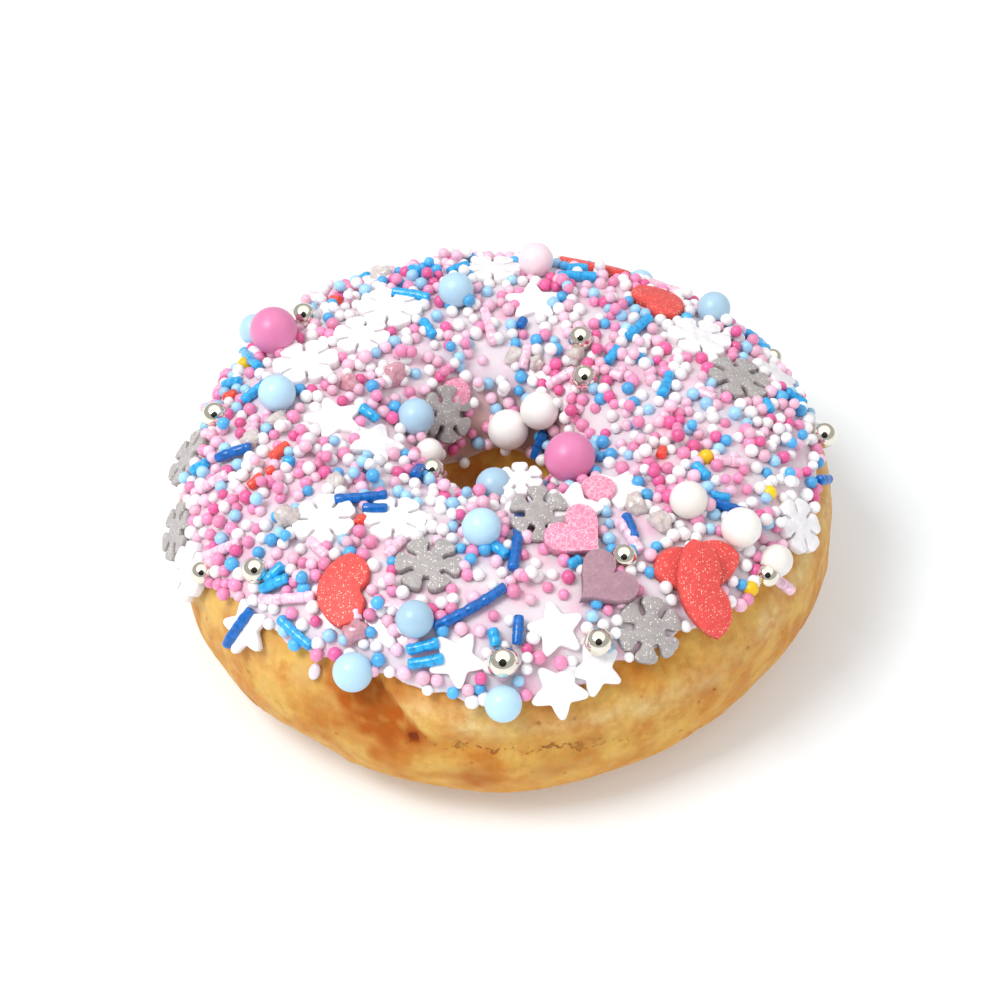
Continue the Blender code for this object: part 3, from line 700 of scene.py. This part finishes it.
def polar(pairs):
    """Points from pairs of a radius and an angle in degrees."""
    return [(radius * math.cos(math.radians(angle)), radius * math.sin(math.radians(angle)))
            for radius, angle in pairs]


def flake_outline(diameter, slot_half_width=0.36):
    """Snowflake of six broad petals, with a slot between each two that is wider inside."""
    radius = diameter / 2
    slot = math.degrees(slot_half_width / radius)
    petal = [(0.46, 0), (0.48, slot / 0.5), (0.55, slot / 0.42), (0.66, slot / 0.5),
             (0.82, slot / 0.82), (0.92, 8), (0.98, 12), (1.0, 18), (1.0, 24), (0.985, 30)]
    petal += [(share, 60 - angle) for share, angle in reversed(petal[1:-1])]
    return polar([(share * radius, 60 * index + angle)
                  for index in range(6) for share, angle in petal])


def worn_flake_outline(diameter):
    """The same flake with its slots nearly closed."""
    return flake_outline(diameter, 0.17)


def join_shape(joined, shape):
    """Add a finished shape to the mesh of its piece."""
    part = bpy.data.meshes.new("shape")
    shape.to_mesh(part)
    shape.free()
    joined.from_mesh(part)
    bpy.data.meshes.remove(part)


def add_plate(joined, outline, thickness, edge, place):
    """Add a flat sugar shape to a mesh: its outline raised by its thickness, its edges worn
    round, laid in its place."""
    bm = bmesh.new()
    face = bm.faces.new([bm.verts.new((x, y, -SUNK)) for x, y in outline])
    raised = bmesh.ops.extrude_face_region(bm, geom=[face])["geom"]
    top_corners = [item for item in raised if isinstance(item, bmesh.types.BMVert)]
    bmesh.ops.translate(bm, vec=(0, 0, thickness), verts=top_corners)
    rims = [rim for rim in bm.edges if abs(rim.verts[0].co.z - rim.verts[1].co.z) < 0.01]
    bmesh.ops.bevel(bm, geom=rims, offset=edge, offset_type="OFFSET", segments=2,
                    affect="EDGES", profile=0.5, clamp_overlap=True, material=-1)
    # How far down the side wall each corner lies, for the painted shade on the sides.
    side_layer = bm.verts.layers.float.new("side")
    for corner in bm.verts:
        corner[side_layer] = smooth_step(thickness - SUNK - edge, -SUNK, corner.co.z)
    bm.transform(place)
    join_shape(joined, bm)


def laid(bearing, lean, turn, size, lift=0.0, tip=0.0):
    """Matrix of a flat piece. One that is tipped up still meets the icing with its low edge."""
    raised = lift + 0.45 * size * math.sin(math.radians(tip))
    tipped = Matrix.Rotation(math.radians(tip), 4, "Y")
    return seat(bearing, lean, raised) @ tipped @ Matrix.Rotation(math.radians(turn), 4, "Z")


def cover_outline(outline, place):
    """Keep the small beads off a flat piece: a ball at its middle and one near every second
    corner."""
    reaches = [math.hypot(x, y) for x, y in outline]
    covered.append((place.translation, 0.9 * min(reaches)))
    for (x, y), reach in list(zip(outline, reaches))[::2]:
        covered.append((place @ Vector((0.72 * x, 0.72 * y, 0)), 0.28 * reach))


def make_plates(name, outline_of, places, thickness, finish, edge=0.22):
    """One piece of flat sugar shapes of a kind, each in its own place."""
    joined = bmesh.new()
    joined.verts.layers.float.new("side")
    for place in places:
        outline = outline_of(place[3])
        add_plate(joined, outline, thickness, edge, laid(*place))
        cover_outline(outline, laid(*place))
    toppings.append(make_piece(name, joined, finish, PLATE_SHARP_ANGLE))


grey_sugar = pressed_sugar_finish("pressed_sugar_grey", "ACA6A4", "F4F1EE", 0.28, 0.1)
white_sugar = pressed_sugar_finish("pressed_sugar_white", "F6F3F5", "FFFFFF", 0.02, 0.0, 0.85)
make_plates("flakes_grey", flake_outline, GREY_FLAKES, FLAKE_THICKNESS, grey_sugar)
make_plates("flakes_white", worn_flake_outline, WHITE_FLAKES, FLAKE_THICKNESS, white_sugar)


# Stars. White pressed sugar stars with blunt arms, 7 to 9 mm across and 1.1 mm thick. A few hang
# over the edge of the icing, stuck by one side.
STAR_THICKNESS = 1.1
STARS = [  # bearing, lean, turn, diameter, lift, tip
    (262, 46, 10, 7.8), (280.5, 37, 40, 7.9), (279.5, 60, 0, 8.0), (286.5, 55, 50, 7.4),
    (296, -11, 0, 9.0, 0, 18), (317.5, -12, 30, 8.4), (194, -26, 25, 8.8), (181, -9, 0, 8.8),
    (79, -1, 15, 8.8), (222.5, 65, 0, 8.0), (119, 38, 0, 7.6), (20, 47, 10, 8.0),
    (107, 61, 20, 8.0),
]


def star_outline(diameter):
    """Five-pointed star whose arms end round and whose notches are soft."""
    arm = [(0.93, -8), (0.99, -4), (1.0, 0), (0.99, 4), (0.93, 8), (0.76, 17), (0.61, 29),
           (0.58, 36), (0.61, 43), (0.76, 55)]
    return polar([(share * diameter / 2, 72 * index + angle)
                  for index in range(5) for share, angle in arm])


make_plates("stars_white", star_outline, STARS, STAR_THICKNESS, white_sugar)


# Lips. Red pressed sugar lips about 10 to 14 mm long, with glitter flecks. Two lie crossed at
# the front right, one on the other.
LIPS_THICKNESS = 1.6
LIPS_WIDTH = 7.6
LIPS = [  # bearing, lean, turn, length, lift, tip
    (314, 34, 68, 13.4), (237.5, 31, 22, 11.0), (311, 43, -20, 14.0, 1.6, 0), (49, 24, 75, 9.6),
    (70, 43, 85, 12.0),
]


def lips_outline(length):
    """Lips: a full curve below, and above it two curves that meet in a dip."""
    steps = 22
    upper, lower = [], []
    for step in range(steps + 1):
        along = 2 * step / steps - 1
        rise = 0.48 * LIPS_WIDTH * (1 - along ** 2) ** 0.9 * (0.8 + along ** 2)
        upper.append((along * length / 2, rise - 0.11 * LIPS_WIDTH * bump(along, 0, 0.14)))
    for step in range(1, steps):
        along = 1 - 2 * step / steps
        lower.append((along * length / 2, -0.52 * LIPS_WIDTH * (1 - along ** 2) ** 0.75))
    return upper + lower


red_sugar = pressed_sugar_finish("pressed_sugar_red", "E64F4C", "F9BFA4", 0.3, 0.07)
make_plates("lips_red", lips_outline, LIPS, LIPS_THICKNESS, red_sugar, 0.4)


# Hearts. Two pressed sugar hearts nearly 9 mm across: a rose one with glitter, tipped up on one
# side, and a mauve one that stands a little proud of the icing.
HEART_THICKNESS = 1.6


def heart_outline(width):
    """Heart that points along X, from the usual heart curve."""
    points = []
    for step in range(48):
        angle = 2 * math.pi * step / 48
        across = 16 * math.sin(angle) ** 3
        along = (13 * math.cos(angle) - 5 * math.cos(2 * angle) - 2 * math.cos(3 * angle)
                 - math.cos(4 * angle))
        points.append((-along * width / 32, across * width / 32))
    return points


rose_sugar = pressed_sugar_finish("pressed_sugar_rose", "EC90B0", "FBD6DF", 0.4, 0.5)
mauve_sugar = pressed_sugar_finish("pressed_sugar_mauve", "AC8693", "C9ABB6", 0.06, 0.18)
make_plates("heart_rose", heart_outline, [(292, 3, 25, 8.6, 0.2, 16)], HEART_THICKNESS,
            rose_sugar, 0.35)
make_plates("heart_mauve", heart_outline, [(293, 25, -70, 8.8, 0.9, 0)], HEART_THICKNESS,
            mauve_sugar, 0.35)


# Discs. Small round rose discs of pressed sugar with glitter, 4 to 5 mm across, stuck on the
# ring's inner side.
DISC_THICKNESS = 1.5


def disc_outline(diameter):
    """Round sugar disc."""
    return polar([(diameter / 2, 360 * step / 32) for step in range(32)])


make_plates("discs_rose", disc_outline, [(311, -16, 0, 4.9, 0.3, 10), (121, -47, 0, 4.4, 0.3, 0)],
            DISC_THICKNESS, rose_sugar, 0.4)


# Sugar lumps. Rough half-clear crystals about 3 mm wide, clear or pink, whose small facets glint.
# They stuck in the icing between the other toppings.
CLEAR_LUMPS = [  # bearing, lean, diameter
    (181.5, 15, 2.8), (186, 25, 2.8), (214.5, 22, 3.4), (315, 1, 3.0), (315, 13, 3.0),
    (51.5, -26, 2.8), (81, -34, 2.6), (68.5, -35, 2.4), (212, -1, 2.8), (117, 36, 3.2),
]
PINK_LUMPS = [(243, 44, 3.2), (148, -25, 3.4), (162, -12, 2.8)]


def crystal_finish(name, colour):
    """Half-clear sugar crystal: light passes partly through, and facets 0.7 mm wide glint."""
    finish, shader = new_finish(name, Roughness=0.1, Transmission_Weight=0.35, IOR=1.5,
                                Subsurface_Weight=0.4, Subsurface_Scale=0.001)
    place = add_node(finish, "TexCoord", {}).outputs["Object"]
    facets = add_node(finish, "TexVoronoi", {"Vector": place, "Scale": 1 / 0.0007})
    shade = add_node(finish, "MapRange", {"Value": facets.outputs["Distance"], "To Min": 1.05,
                                          "To Max": 0.8})
    toned = add_node(finish, "MixRGB", {"Fac": 1.0, "Color1": linear(colour),
                                        "Color2": shade.outputs["Result"]},
                     blend_type="MULTIPLY")
    finish.node_tree.links.new(toned.outputs["Color"], shader.inputs["Base Color"])
    relief = add_node(finish, "Bump", {"Height": facets.outputs["Distance"], "Strength": 0.5,
                                       "Distance": 0.0003})
    finish.node_tree.links.new(relief.outputs["Normal"], shader.inputs["Normal"])
    return finish


def any_turn(draw):
    """A turn of a shape's own, about X and Y."""
    first = Matrix.Rotation(draw.uniform(0, 6), 4, "X")
    return first @ Matrix.Rotation(draw.uniform(0, 6), 4, "Y")


def make_lumps(name, places, finish, seed):
    """Rough lumps: balls with their corners moved, each stretched and turned its own way."""
    draw = random.Random(seed)
    bm = ball(3)
    for corner in bm.verts:
        corner.co *= 1 + 0.5 * noise.noise(corner.co * 3.1)
    matrices = []
    for bearing, lean, diameter in places:
        spot = seat(bearing, lean, diameter / 2 - 2 * SUNK)
        stretched = Matrix.Diagonal((diameter, 0.8 * diameter, 1.1 * diameter, 1))
        matrices.append(spot @ any_turn(draw) @ stretched)
        covered.append((spot.translation, diameter / 2))
    joined_copies(name, bm, matrices, finish, draw)


make_lumps("lumps_clear", CLEAR_LUMPS, crystal_finish("crystal_clear", "FCF0EC"), 6)
make_lumps("lumps_pink", PINK_LUMPS, crystal_finish("crystal_pink", "F9BCC9"), 7)


# Rods. Strands of coloured sugar 1.5 mm thick, broken to lengths of 1.5 to 11 mm, slightly knobbly
# and bent where they lie over the ring's curve. The red ones are only chips.
ROD_DIAMETER = 1.5
KNOB_SPACING = 1.15
KNOB_HEIGHT = 0.08
NAVY_RODS = [  # bearing and lean of one end, then of the other
    (257, 35.5, 271, 19), (278, -18, 273, 12), (218, 5, 227.5, -13), (226, 0, 232, -7),
    (273.5, 30.5, 272.7, 41), (222.5, 56.5, 220.8, 76), (306, 13.5, 309.5, 3),
    (187.5, 40, 189, 25), (41, -61, 44, -76), (223, -33, 214.8, -42), (329.5, 21, 332.5, 35),
    (352.5, 55, 355.5, 62), (80, -15, 81, -20),
]
AZURE_RODS = [
    (253, 45, 258.5, 40.5), (253.8, 50, 259.7, 46), (268.2, 34.5, 268.9, 41),
    (267.3, -2, 272, 5.5), (228.5, 52, 236.3, 55.5), (222, 44.5, 222.8, 35.5),
    (222, 48, 225.5, 38), (151, 51, 160, 31), (172, 31, 165.5, 21), (163, 47, 164, 37),
    (120, 15, 112, 3.5), (118.5, -9, 118.5, -20), (174, -20, 179.5, -28), (42, -5, 44.5, 11.5),
    (37, -21.5, 40.5, -12.5), (75, 18, 66, 24), (74, 27, 70, 32), (29, 52, 33, 57),
    (103.5, 20, 98, 25), (8, 30, 4.5, 31.5), (185.5, 54, 186.5, 45), (110, 25, 111, 32),
    (197, 13.5, 199, 10.5), (287, 14, 290.5, 13), (72, 50, 74, 62), (118, 48, 121, 60),
    (13.5, 43, 12.5, 53), (10, -10.5, 19.5, -3), (36, 54, 33, 66), (339, 7, 336, 14),
    (331, 18.5, 333, 25),
]
PINK_RODS = [
    (95.5, -9, 92.5, -29), (75, -28, 75, -39), (55.5, -43.5, 46, -32), (192, 51, 193.5, 36),
    (206, 59, 211, 42), (306.5, 3, 305, 19), (223, 51, 232.5, 38), (326.5, 57, 328.5, 68),
    (343, 12.5, 345.5, 24), (242.5, 3, 241.5, 13), (223, 22.5, 229.5, 23.5), (31, -24, 26, -21),
    (10.5, 5, 6.5, 10.5), (241.5, 36, 242.5, 39.5), (100, 40, 92, 46), (57, 42, 50, 50),
]
RED_CHIPS = [
    (194.5, 18, 191, 11), (200, 29.5, 199, 23), (198.5, 21.5, 198.5, 18), (228, 2, 229, 6),
    (343.5, -8, 339, -7), (131.5, 33, 131, 28), (168, 43, 167.5, 37),
]


def cast_sugar_finish(name, colour):
    """Pulled strand of coloured sugar: glossy, with a grain of 0.8 mm that runs lighter and
    darker, and painted shade: a darker line in each crease between its knobs."""
    finish, shader = new_finish(name, Roughness=0.25, Subsurface_Weight=0.15,
                                Subsurface_Scale=0.0006, Coat_Weight=0.2, Coat_Roughness=0.1)
    place = add_node(finish, "TexCoord", {}).outputs["Object"]
    grain = add_node(finish, "TexNoise", {"Vector": place, "Scale": 1 / 0.0008, "Detail": 3.0})
    shade = add_node(finish, "MapRange", {"Value": grain.outputs["Fac"], "From Min": 0.3,
                                          "From Max": 0.7, "To Min": 0.72, "To Max": 1.25})
    toned = add_node(finish, "MixRGB", {"Fac": 1.0, "Color1": linear(colour),
                                        "Color2": shade.outputs["Result"]},
                     blend_type="MULTIPLY")
    # Painted shade: the creases between the knobs are darkened.
    groove = add_node(finish, "Attribute", {}, attribute_name="groove").outputs["Fac"]
    depth = add_node(finish, "MapRange", {"Value": groove, "From Min": 0.3, "From Max": 1.0,
                                          "To Min": 1.0, "To Max": 0.6})
    creased = add_node(finish, "MixRGB", {"Fac": 1.0, "Color1": toned.outputs["Color"],
                                          "Color2": depth.outputs["Result"]},
                       blend_type="MULTIPLY")
    finish.node_tree.links.new(creased.outputs["Color"], shader.inputs["Base Color"])
    relief = add_node(finish, "Bump", {"Height": grain.outputs["Fac"], "Strength": 0.3,
                                       "Distance": 0.0002})
    finish.node_tree.links.new(relief.outputs["Normal"], shader.inputs["Normal"])
    return finish


def rod_shape(length):
    """A straight knobbly rod along Z from 0 to 1 with blunt ends, turned from its profile; its
    X and Y are in millimetres."""
    bm = bmesh.new()
    radius, blunt = ROD_DIAMETER / 2, 0.25 / length
    profile = [(0, 0, 0), (0.6 * radius, 0.02 * blunt, 0), (0.9 * radius, 0.35 * blunt, 0),
               (radius, blunt, 0)]
    steps = max(4, round(length / 0.23))
    for step in range(1, steps):
        along = blunt + (1 - 2 * blunt) * step / steps
        knob = abs(math.sin(math.pi * along * length / KNOB_SPACING)) ** 0.5
        profile.append((radius * (1.04 - KNOB_HEIGHT * (1 - knob)), along, 1 - knob))
    profile += [(across, 1 - along, 0) for across, along, _ in reversed(profile[:4])]
    # How deep in a crease between knobs each corner lies, for the painted shade there.
    groove_layer = bm.verts.layers.float.new("groove")
    line = [bm.verts.new((across, 0, along)) for across, along, _ in profile]
    for corner, (_, _, groove) in zip(line, profile):
        corner[groove_layer] = groove
    edges = [bm.edges.new((line[index], line[index + 1])) for index in range(len(line) - 1)]
    bmesh.ops.spin(bm, geom=line + edges, axis=(0, 0, 1), cent=(0, 0, 0), steps=12,
                   angle=2 * math.pi, use_merge=True)
    bmesh.ops.remove_doubles(bm, verts=bm.verts, dist=0.0005)
    return bm


def make_rods(name, places, finish, lift):
    """One piece of rods, each laid along the icing between its two ends."""
    joined = bmesh.new()
    joined.verts.layers.float.new("groove")
    for bearing, lean, end_bearing, end_lean in places:
        start, end = icing_point(bearing, lean), icing_point(end_bearing, end_lean)
        shape = rod_shape((end - start).length)
        for corner in shape.verts:
            share = corner.co.z
            place = seat(bearing + share * (end_bearing - bearing),
                         lean + share * (end_lean - lean),
                         ROD_DIAMETER / 2 - SUNK + lift)
            side = (end - start).cross(place.col[2].xyz).normalized()
            knob = 1 + 0.14 * noise.noise(place.translation / 0.8)
            across = corner.co.x * side + corner.co.y * place.col[2].xyz
            corner.co = place.translation + knob * across
        join_shape(joined, shape)
        steps = math.ceil((end - start).length / 1.2)
        for step in range(steps + 1):
            covered.append((start.lerp(end, step / steps), ROD_DIAMETER / 2))
    toppings.append(make_piece(name, joined, finish))


make_rods("rods_navy", NAVY_RODS, cast_sugar_finish("cast_sugar_navy", "0066BA"), 0.6)
make_rods("rods_azure", AZURE_RODS, cast_sugar_finish("cast_sugar_azure", "2AA9E8"), 0.5)
make_rods("rods_pink", PINK_RODS, cast_sugar_finish("cast_sugar_pink", "F7CBDF"), 0.4)
make_rods("chips_red", RED_CHIPS, cast_sugar_finish("cast_sugar_red", "F0513F"), 0.2)


# Small beads. Some fourteen hundred sugar beads about 1.85 mm across in white, pinks and blues,
# which stuck where they fell: one close layer in the wet icing, with some lying on top of it.
BEAD_DIAMETER = 1.85
BEAD_SIZE_SHARES = (0.84, 1.12)
BEADS_THROWN = 3100    # more than half of them find no room and are left out
BEAD_LEANS = (-74, 59)
BEAD_SEED = 11
SETTLE_STEPS = 26
MM_PER_LEAN_RADIAN = 20
SPARSE_BELOW_LEAN = -64    # in the hole, where few beads fell
UPPER_BEAD_SHARE = 0.24
UPPER_BEAD_LEANS = (-50, 44)
# shares of a bead's diameter: the room kept beside a topping and between two beads
ROOM_BESIDE_TOPPING = 0.35
ROOM_BESIDE_BEAD = 0.75
BEAD_COLOURS = {  # colour of the sugar, then its share of the beads
    "white": ("FBF7F9", 37),
    "blush": ("F9C6DA", 20),
    "pink": ("F296BE", 19),
    "rose": ("EB68A2", 7),
    "sky": ("A4D5F6", 10),
    "blue": ("55B3EC", 7),
}
# bearing, lean and their spreads of the sides with more pink or more white beads
PINK_SIDES = [(200, 30, 20, 25), (350, 20, 18, 25), (125, -20, 20, 20), (330, 0, 12, 16)]
WHITE_SIDES = [(140, 10, 25, 20), (325, 40, 16, 16), (275, 45, 14, 12), (30, 20, 16, 14)]
BARE_PLACES = [  # bearing, lean, radius in millimetres: hardly any beads fell there
    (9, -41, 3.5), (351, -33, 3.5), (48, -57, 3), (274, 23, 4), (263, 23, 3.5), (284, 26, 3),
    (310, 10, 3.5), (100, -50, 4), (130, -66, 4), (165, -62, 4), (300, 33, 2.5), (95, -35, 3),
]
BARE_KEPT_SHARE = 0.3
YELLOW_BEADS = [(157, 42, 2.1), (343.5, 9.5, 2.1), (341, 36, 2.1), (320.8, 54, 2.2)]


def tree_of(spots):
    """Search tree of some spots, which finds those near a place."""
    tree = KDTree(len(spots))
    for index, spot in enumerate(spots):
        tree.insert(spot, index)
    tree.balance()
    return tree


def settle_beads(draw):
    """Bearings and leans of the thrown beads: spread evenly over the icing, then pushed step by
    step away from each other and off the larger toppings. Those that still have no room are left
    out later."""
    beads = []
    reach_sum = [0.0]
    for lean in range(*BEAD_LEANS):
        reach_sum.append(reach_sum[-1] + CREST_RADIUS + section(lean).x)
    while len(beads) < BEADS_THROWN:
        aim = draw.random() * reach_sum[-1]
        step = next(index for index, total in enumerate(reach_sum[1:]) if total >= aim)
        beads.append([draw.uniform(0, 360), step + BEAD_LEANS[0] + draw.random()])
    for _ in range(SETTLE_STEPS):
        spots = [icing_point(bearing, lean) for bearing, lean in beads]
        tree = tree_of(spots)
        pushes = [Vector() for _ in beads]
        for index, spot in enumerate(spots):
            for other, neighbour, gap in tree.find_range(spot, BEAD_DIAMETER):
                if neighbour > index and gap > 0:
                    push = (spot - other) / gap * (BEAD_DIAMETER - gap) * 0.5
                    pushes[index] += push
                    pushes[neighbour] -= push
        for centre, radius in covered:
            room = radius + ROOM_BESIDE_TOPPING * BEAD_DIAMETER
            for other, index, gap in tree.find_range(centre, room):
                if gap > 0:
                    pushes[index] += (other - centre) / gap * (room - gap)
        for bead, spot, push in zip(beads, spots, pushes):
            if push.length_squared > 0:
                place = seat(*bead)
                down, along = place.col[0].xyz, place.col[1].xyz
                radius = math.hypot(spot.x, spot.y)
                bead[0] = (bead[0] + math.degrees(push.dot(along) / radius)) % 360
                bead[1] += math.degrees(push.dot(down) / MM_PER_LEAN_RADIAN)
                bead[1] = max(inner_edge(bead[0]) + 1, min(outer_edge(bead[0]) - 1.5, bead[1]))
    return beads


def bead_room(spot):
    """How far a spot is outside the nearest larger topping."""
    return min((spot - centre).length - radius for centre, radius in covered)


def share_of_sides(bearing, lean, sides):
    """How far a place is on any of some sides of the ring."""
    return sum(bump((bearing - middle + 180) % 360 - 180, 0, spread) * bump(lean, at, width)
               for middle, at, spread, width in sides)


def choose_colour(bearing, lean, draw):
    """A bead's colour, drawn by the shares, pinker or whiter on some sides of the ring."""
    pinker = share_of_sides(bearing, lean, PINK_SIDES)
    whiter = share_of_sides(bearing, lean, WHITE_SIDES)
    shares = {name: share for name, (_, share) in BEAD_COLOURS.items()}
    shares["white"] *= 1 + 1.2 * whiter
    shares["pink"] *= 1 + 1.5 * pinker
    shares["rose"] *= 1 + 1.3 * pinker
    return draw.choices(list(shares), list(shares.values()))[0]


def bead_matrix(place, diameter, draw):
    """A bead's matrix: slightly out of round, turned its own way."""
    turned = any_turn(draw)
    out_of_round = Matrix.Diagonal((diameter, diameter * draw.uniform(0.93, 1.0), diameter, 1))
    return place @ turned @ out_of_round


def make_beads():
    """The beads, one piece for each colour."""
    draw = random.Random(BEAD_SEED)
    beads = settle_beads(draw)
    spots = [icing_point(bearing, lean) for bearing, lean in beads]
    tree = tree_of(spots)
    matrices = {name: [] for name in BEAD_COLOURS}
    kept, kept_spots = set(), []
    bare = [(icing_point(bearing, lean), radius) for bearing, lean, radius in BARE_PLACES]
    for index, (bearing, lean) in enumerate(beads):
        spot = spots[index]
        near = [at for _, at, _ in tree.find_range(spot, ROOM_BESIDE_BEAD * BEAD_DIAMETER)
                if at in kept]
        on_bare_place = any((spot - middle).length < radius for middle, radius in bare)
        sparse = lean < SPARSE_BELOW_LEAN or on_bare_place
        if sparse and draw.random() > BARE_KEPT_SHARE:
            continue
        if not near and bead_room(spot) > 0.1:
            kept.add(index)
            kept_spots.append((bearing, lean))
    for bearing, lean in kept_spots:
        diameter = BEAD_DIAMETER * draw.uniform(*BEAD_SIZE_SHARES)
        place = seat(bearing, lean, diameter / 2 - SUNK + draw.uniform(-0.15, 0.2))
        matrices[choose_colour(bearing, lean, draw)].append(bead_matrix(place, diameter, draw))
    for bearing, lean in kept_spots:
        if draw.random() < UPPER_BEAD_SHARE and UPPER_BEAD_LEANS[0] < lean < UPPER_BEAD_LEANS[1]:
            diameter = BEAD_DIAMETER * draw.uniform(*BEAD_SIZE_SHARES)
            turn = draw.uniform(0, 2 * math.pi)
            upper = (bearing + 1.6 * math.cos(turn), lean + 3.2 * math.sin(turn))
            spot = icing_point(*upper)
            gaps = [gap for _, at, gap in tree.find_range(spot, BEAD_DIAMETER) if at in kept]
            if len(gaps) > 1 and bead_room(spot) > BEAD_DIAMETER / 2:
                rise = math.sqrt(BEAD_DIAMETER ** 2 - min(gaps) ** 2)
                place = seat(*upper, diameter / 2 - SUNK + 0.85 * rise)
                matrices[choose_colour(bearing, lean, draw)].append(
                    bead_matrix(place, diameter, draw))
    for index, (name, (colour, _)) in enumerate(BEAD_COLOURS.items()):
        finish = polished_sugar_finish("bead_" + name, colour, 0.32)
        joined_copies("beads_" + name, ball(2), matrices[name], finish, draw)


make_balls("beads_yellow", YELLOW_BEADS, polished_sugar_finish("bead_yellow", "FBCB12"), 8)
make_beads()

for piece in toppings:
    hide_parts("icing_with_sprinkles")


# Table. A plain white matt top that takes the soft shadow and fades into the white room. It
# glows faintly, so that it is nearly as white as the photograph's ground.
TABLE_HALF = 2.0


def make_table():
    """The white table top."""
    finish, shader = new_finish("white_table", Roughness=0.7, Specular_IOR_Level=0.2,
                                Emission_Strength=0.17)
    shader.inputs["Base Color"].default_value = linear("E3E8EB")
    shader.inputs["Emission Color"].default_value = linear("FFFFFF")
    bm = bmesh.new()
    bmesh.ops.create_grid(bm, x_segments=1, y_segments=1, size=TABLE_HALF)
    mesh = bpy.data.meshes.new("table")
    bm.to_mesh(mesh)
    bm.free()
    mesh.materials.append(finish)
    table = bpy.data.objects.new("table", mesh)
    bpy.context.scene.collection.objects.link(table)


make_table()


# Camera. It looks down 43.5 degrees from the front, 400 mm away, with a short telephoto. The
# ring's outline and its hole in the photograph gave these values.
CAMERA_ELEVATION = 43.5
CAMERA_DISTANCE = 0.3997
CAMERA_LENS = 98.03
AIM_RIGHT = -0.00039
AIM_UP = 0.00099


def make_camera():
    """The camera at the photograph's viewing angle."""
    tilt = math.radians(CAMERA_ELEVATION)
    back = Vector((0, -math.cos(tilt), math.sin(tilt)))
    up = Vector((0, math.sin(tilt), math.cos(tilt)))
    aim = Vector((AIM_RIGHT, 0, GIRTH_HEIGHT * MM)) + AIM_UP * up
    data = bpy.data.cameras.new("camera")
    data.lens = CAMERA_LENS
    data.sensor_width = 36
    data.clip_start = 0.01
    camera = bpy.data.objects.new("camera", data)
    camera.location = aim + CAMERA_DISTANCE * back
    camera.rotation_euler = (math.radians(90 - CAMERA_ELEVATION), 0, 0)
    bpy.context.scene.collection.objects.link(camera)
    bpy.context.scene.camera = camera


make_camera()


# Light. A white room, brightest towards the front and right, and one large soft lamp high on the
# left. Glossy skins see it with a bright ceiling, darker walls, and a gap where the camera stands,
# which is the dark spot in each silver ball.
CEILING_STRENGTH = 0.72
WALL_STRENGTH = 0.80
MIRRORED_CEILING_STRENGTH = 1.35
MIRRORED_WALL_STRENGTH = 0.5
CEILING_FROM = 0.60    # sine of the elevation
CEILING_BY = 0.72
GAP_HALF_ANGLE = 27
GAP_SOFTNESS = 2
GAP_BRIGHTNESS = 0.04
BRIGHT_SIDE = (0.5, -0.85, 0.0)
FAR_SIDE_SHARE = 0.8
NEAR_SIDE_SHARE = 1.2
LAMP_PLACE = (-0.47, -0.22, 0.85)
LAMP_SIZE = 0.40
LAMP_POWER = 6.3


def make_light():
    """The room and the lamp."""
    world = bpy.data.worlds.new("room")
    bpy.context.scene.world = world
    world.use_nodes = True
    way = add_node(world, "TexCoord", {}).outputs["Generated"]
    rise = add_node(world, "SeparateXYZ", {"Vector": way}).outputs["Z"]
    overhead = {"Value": rise, "From Min": CEILING_FROM, "From Max": CEILING_BY}
    side = add_node(world, "VectorMath", {0: way, 1: BRIGHT_SIDE}, operation="DOT_PRODUCT")
    wall = add_node(world, "MapRange", {"Value": side.outputs["Value"], "From Min": -1.0,
                                        "To Min": WALL_STRENGTH * FAR_SIDE_SHARE,
                                        "To Max": WALL_STRENGTH * NEAR_SIDE_SHARE})
    room = add_node(world, "MapRange", {**overhead, "To Min": wall.outputs["Result"],
                                        "To Max": CEILING_STRENGTH})
    mirrored = add_node(world, "MapRange", {**overhead, "To Min": MIRRORED_WALL_STRENGTH,
                                            "To Max": MIRRORED_CEILING_STRENGTH})
    ray = add_node(world, "LightPath", {}).outputs["Is Glossy Ray"]
    tilt = math.radians(CAMERA_ELEVATION)
    towards = add_node(world, "VectorMath", {0: way, 1: (0, -math.cos(tilt), math.sin(tilt))},
                       operation="DOT_PRODUCT")
    gap = add_node(world, "MapRange", {"Value": towards.outputs["Value"],
                                       "From Min": math.cos(math.radians(GAP_HALF_ANGLE
                                                                         + GAP_SOFTNESS)),
                                       "From Max": math.cos(math.radians(GAP_HALF_ANGLE)),
                                       "To Min": 1.0, "To Max": GAP_BRIGHTNESS})
    darkened = add_node(world, "Math", {0: mirrored.outputs["Result"], 1: gap.outputs["Result"]},
                        operation="MULTIPLY")
    strength = add_node(world, "MixRGB", {"Fac": ray, "Color1": room.outputs["Result"],
                                          "Color2": darkened.outputs["Value"]})
    background = world.node_tree.nodes["Background"]
    background.inputs["Color"].default_value = (1, 1, 1, 1)
    world.node_tree.links.new(strength.outputs["Color"], background.inputs["Strength"])
    data = bpy.data.lights.new("soft_lamp", "AREA")
    data.size = LAMP_SIZE
    data.energy = LAMP_POWER
    lamp = bpy.data.objects.new("soft_lamp", data)
    lamp.location = LAMP_PLACE
    lamp.rotation_euler = (-Vector(LAMP_PLACE)).to_track_quat("-Z", "Y").to_euler()
    bpy.context.scene.collection.objects.link(lamp)


make_light()
bpy.context.scene.view_settings.view_transform = "Standard"
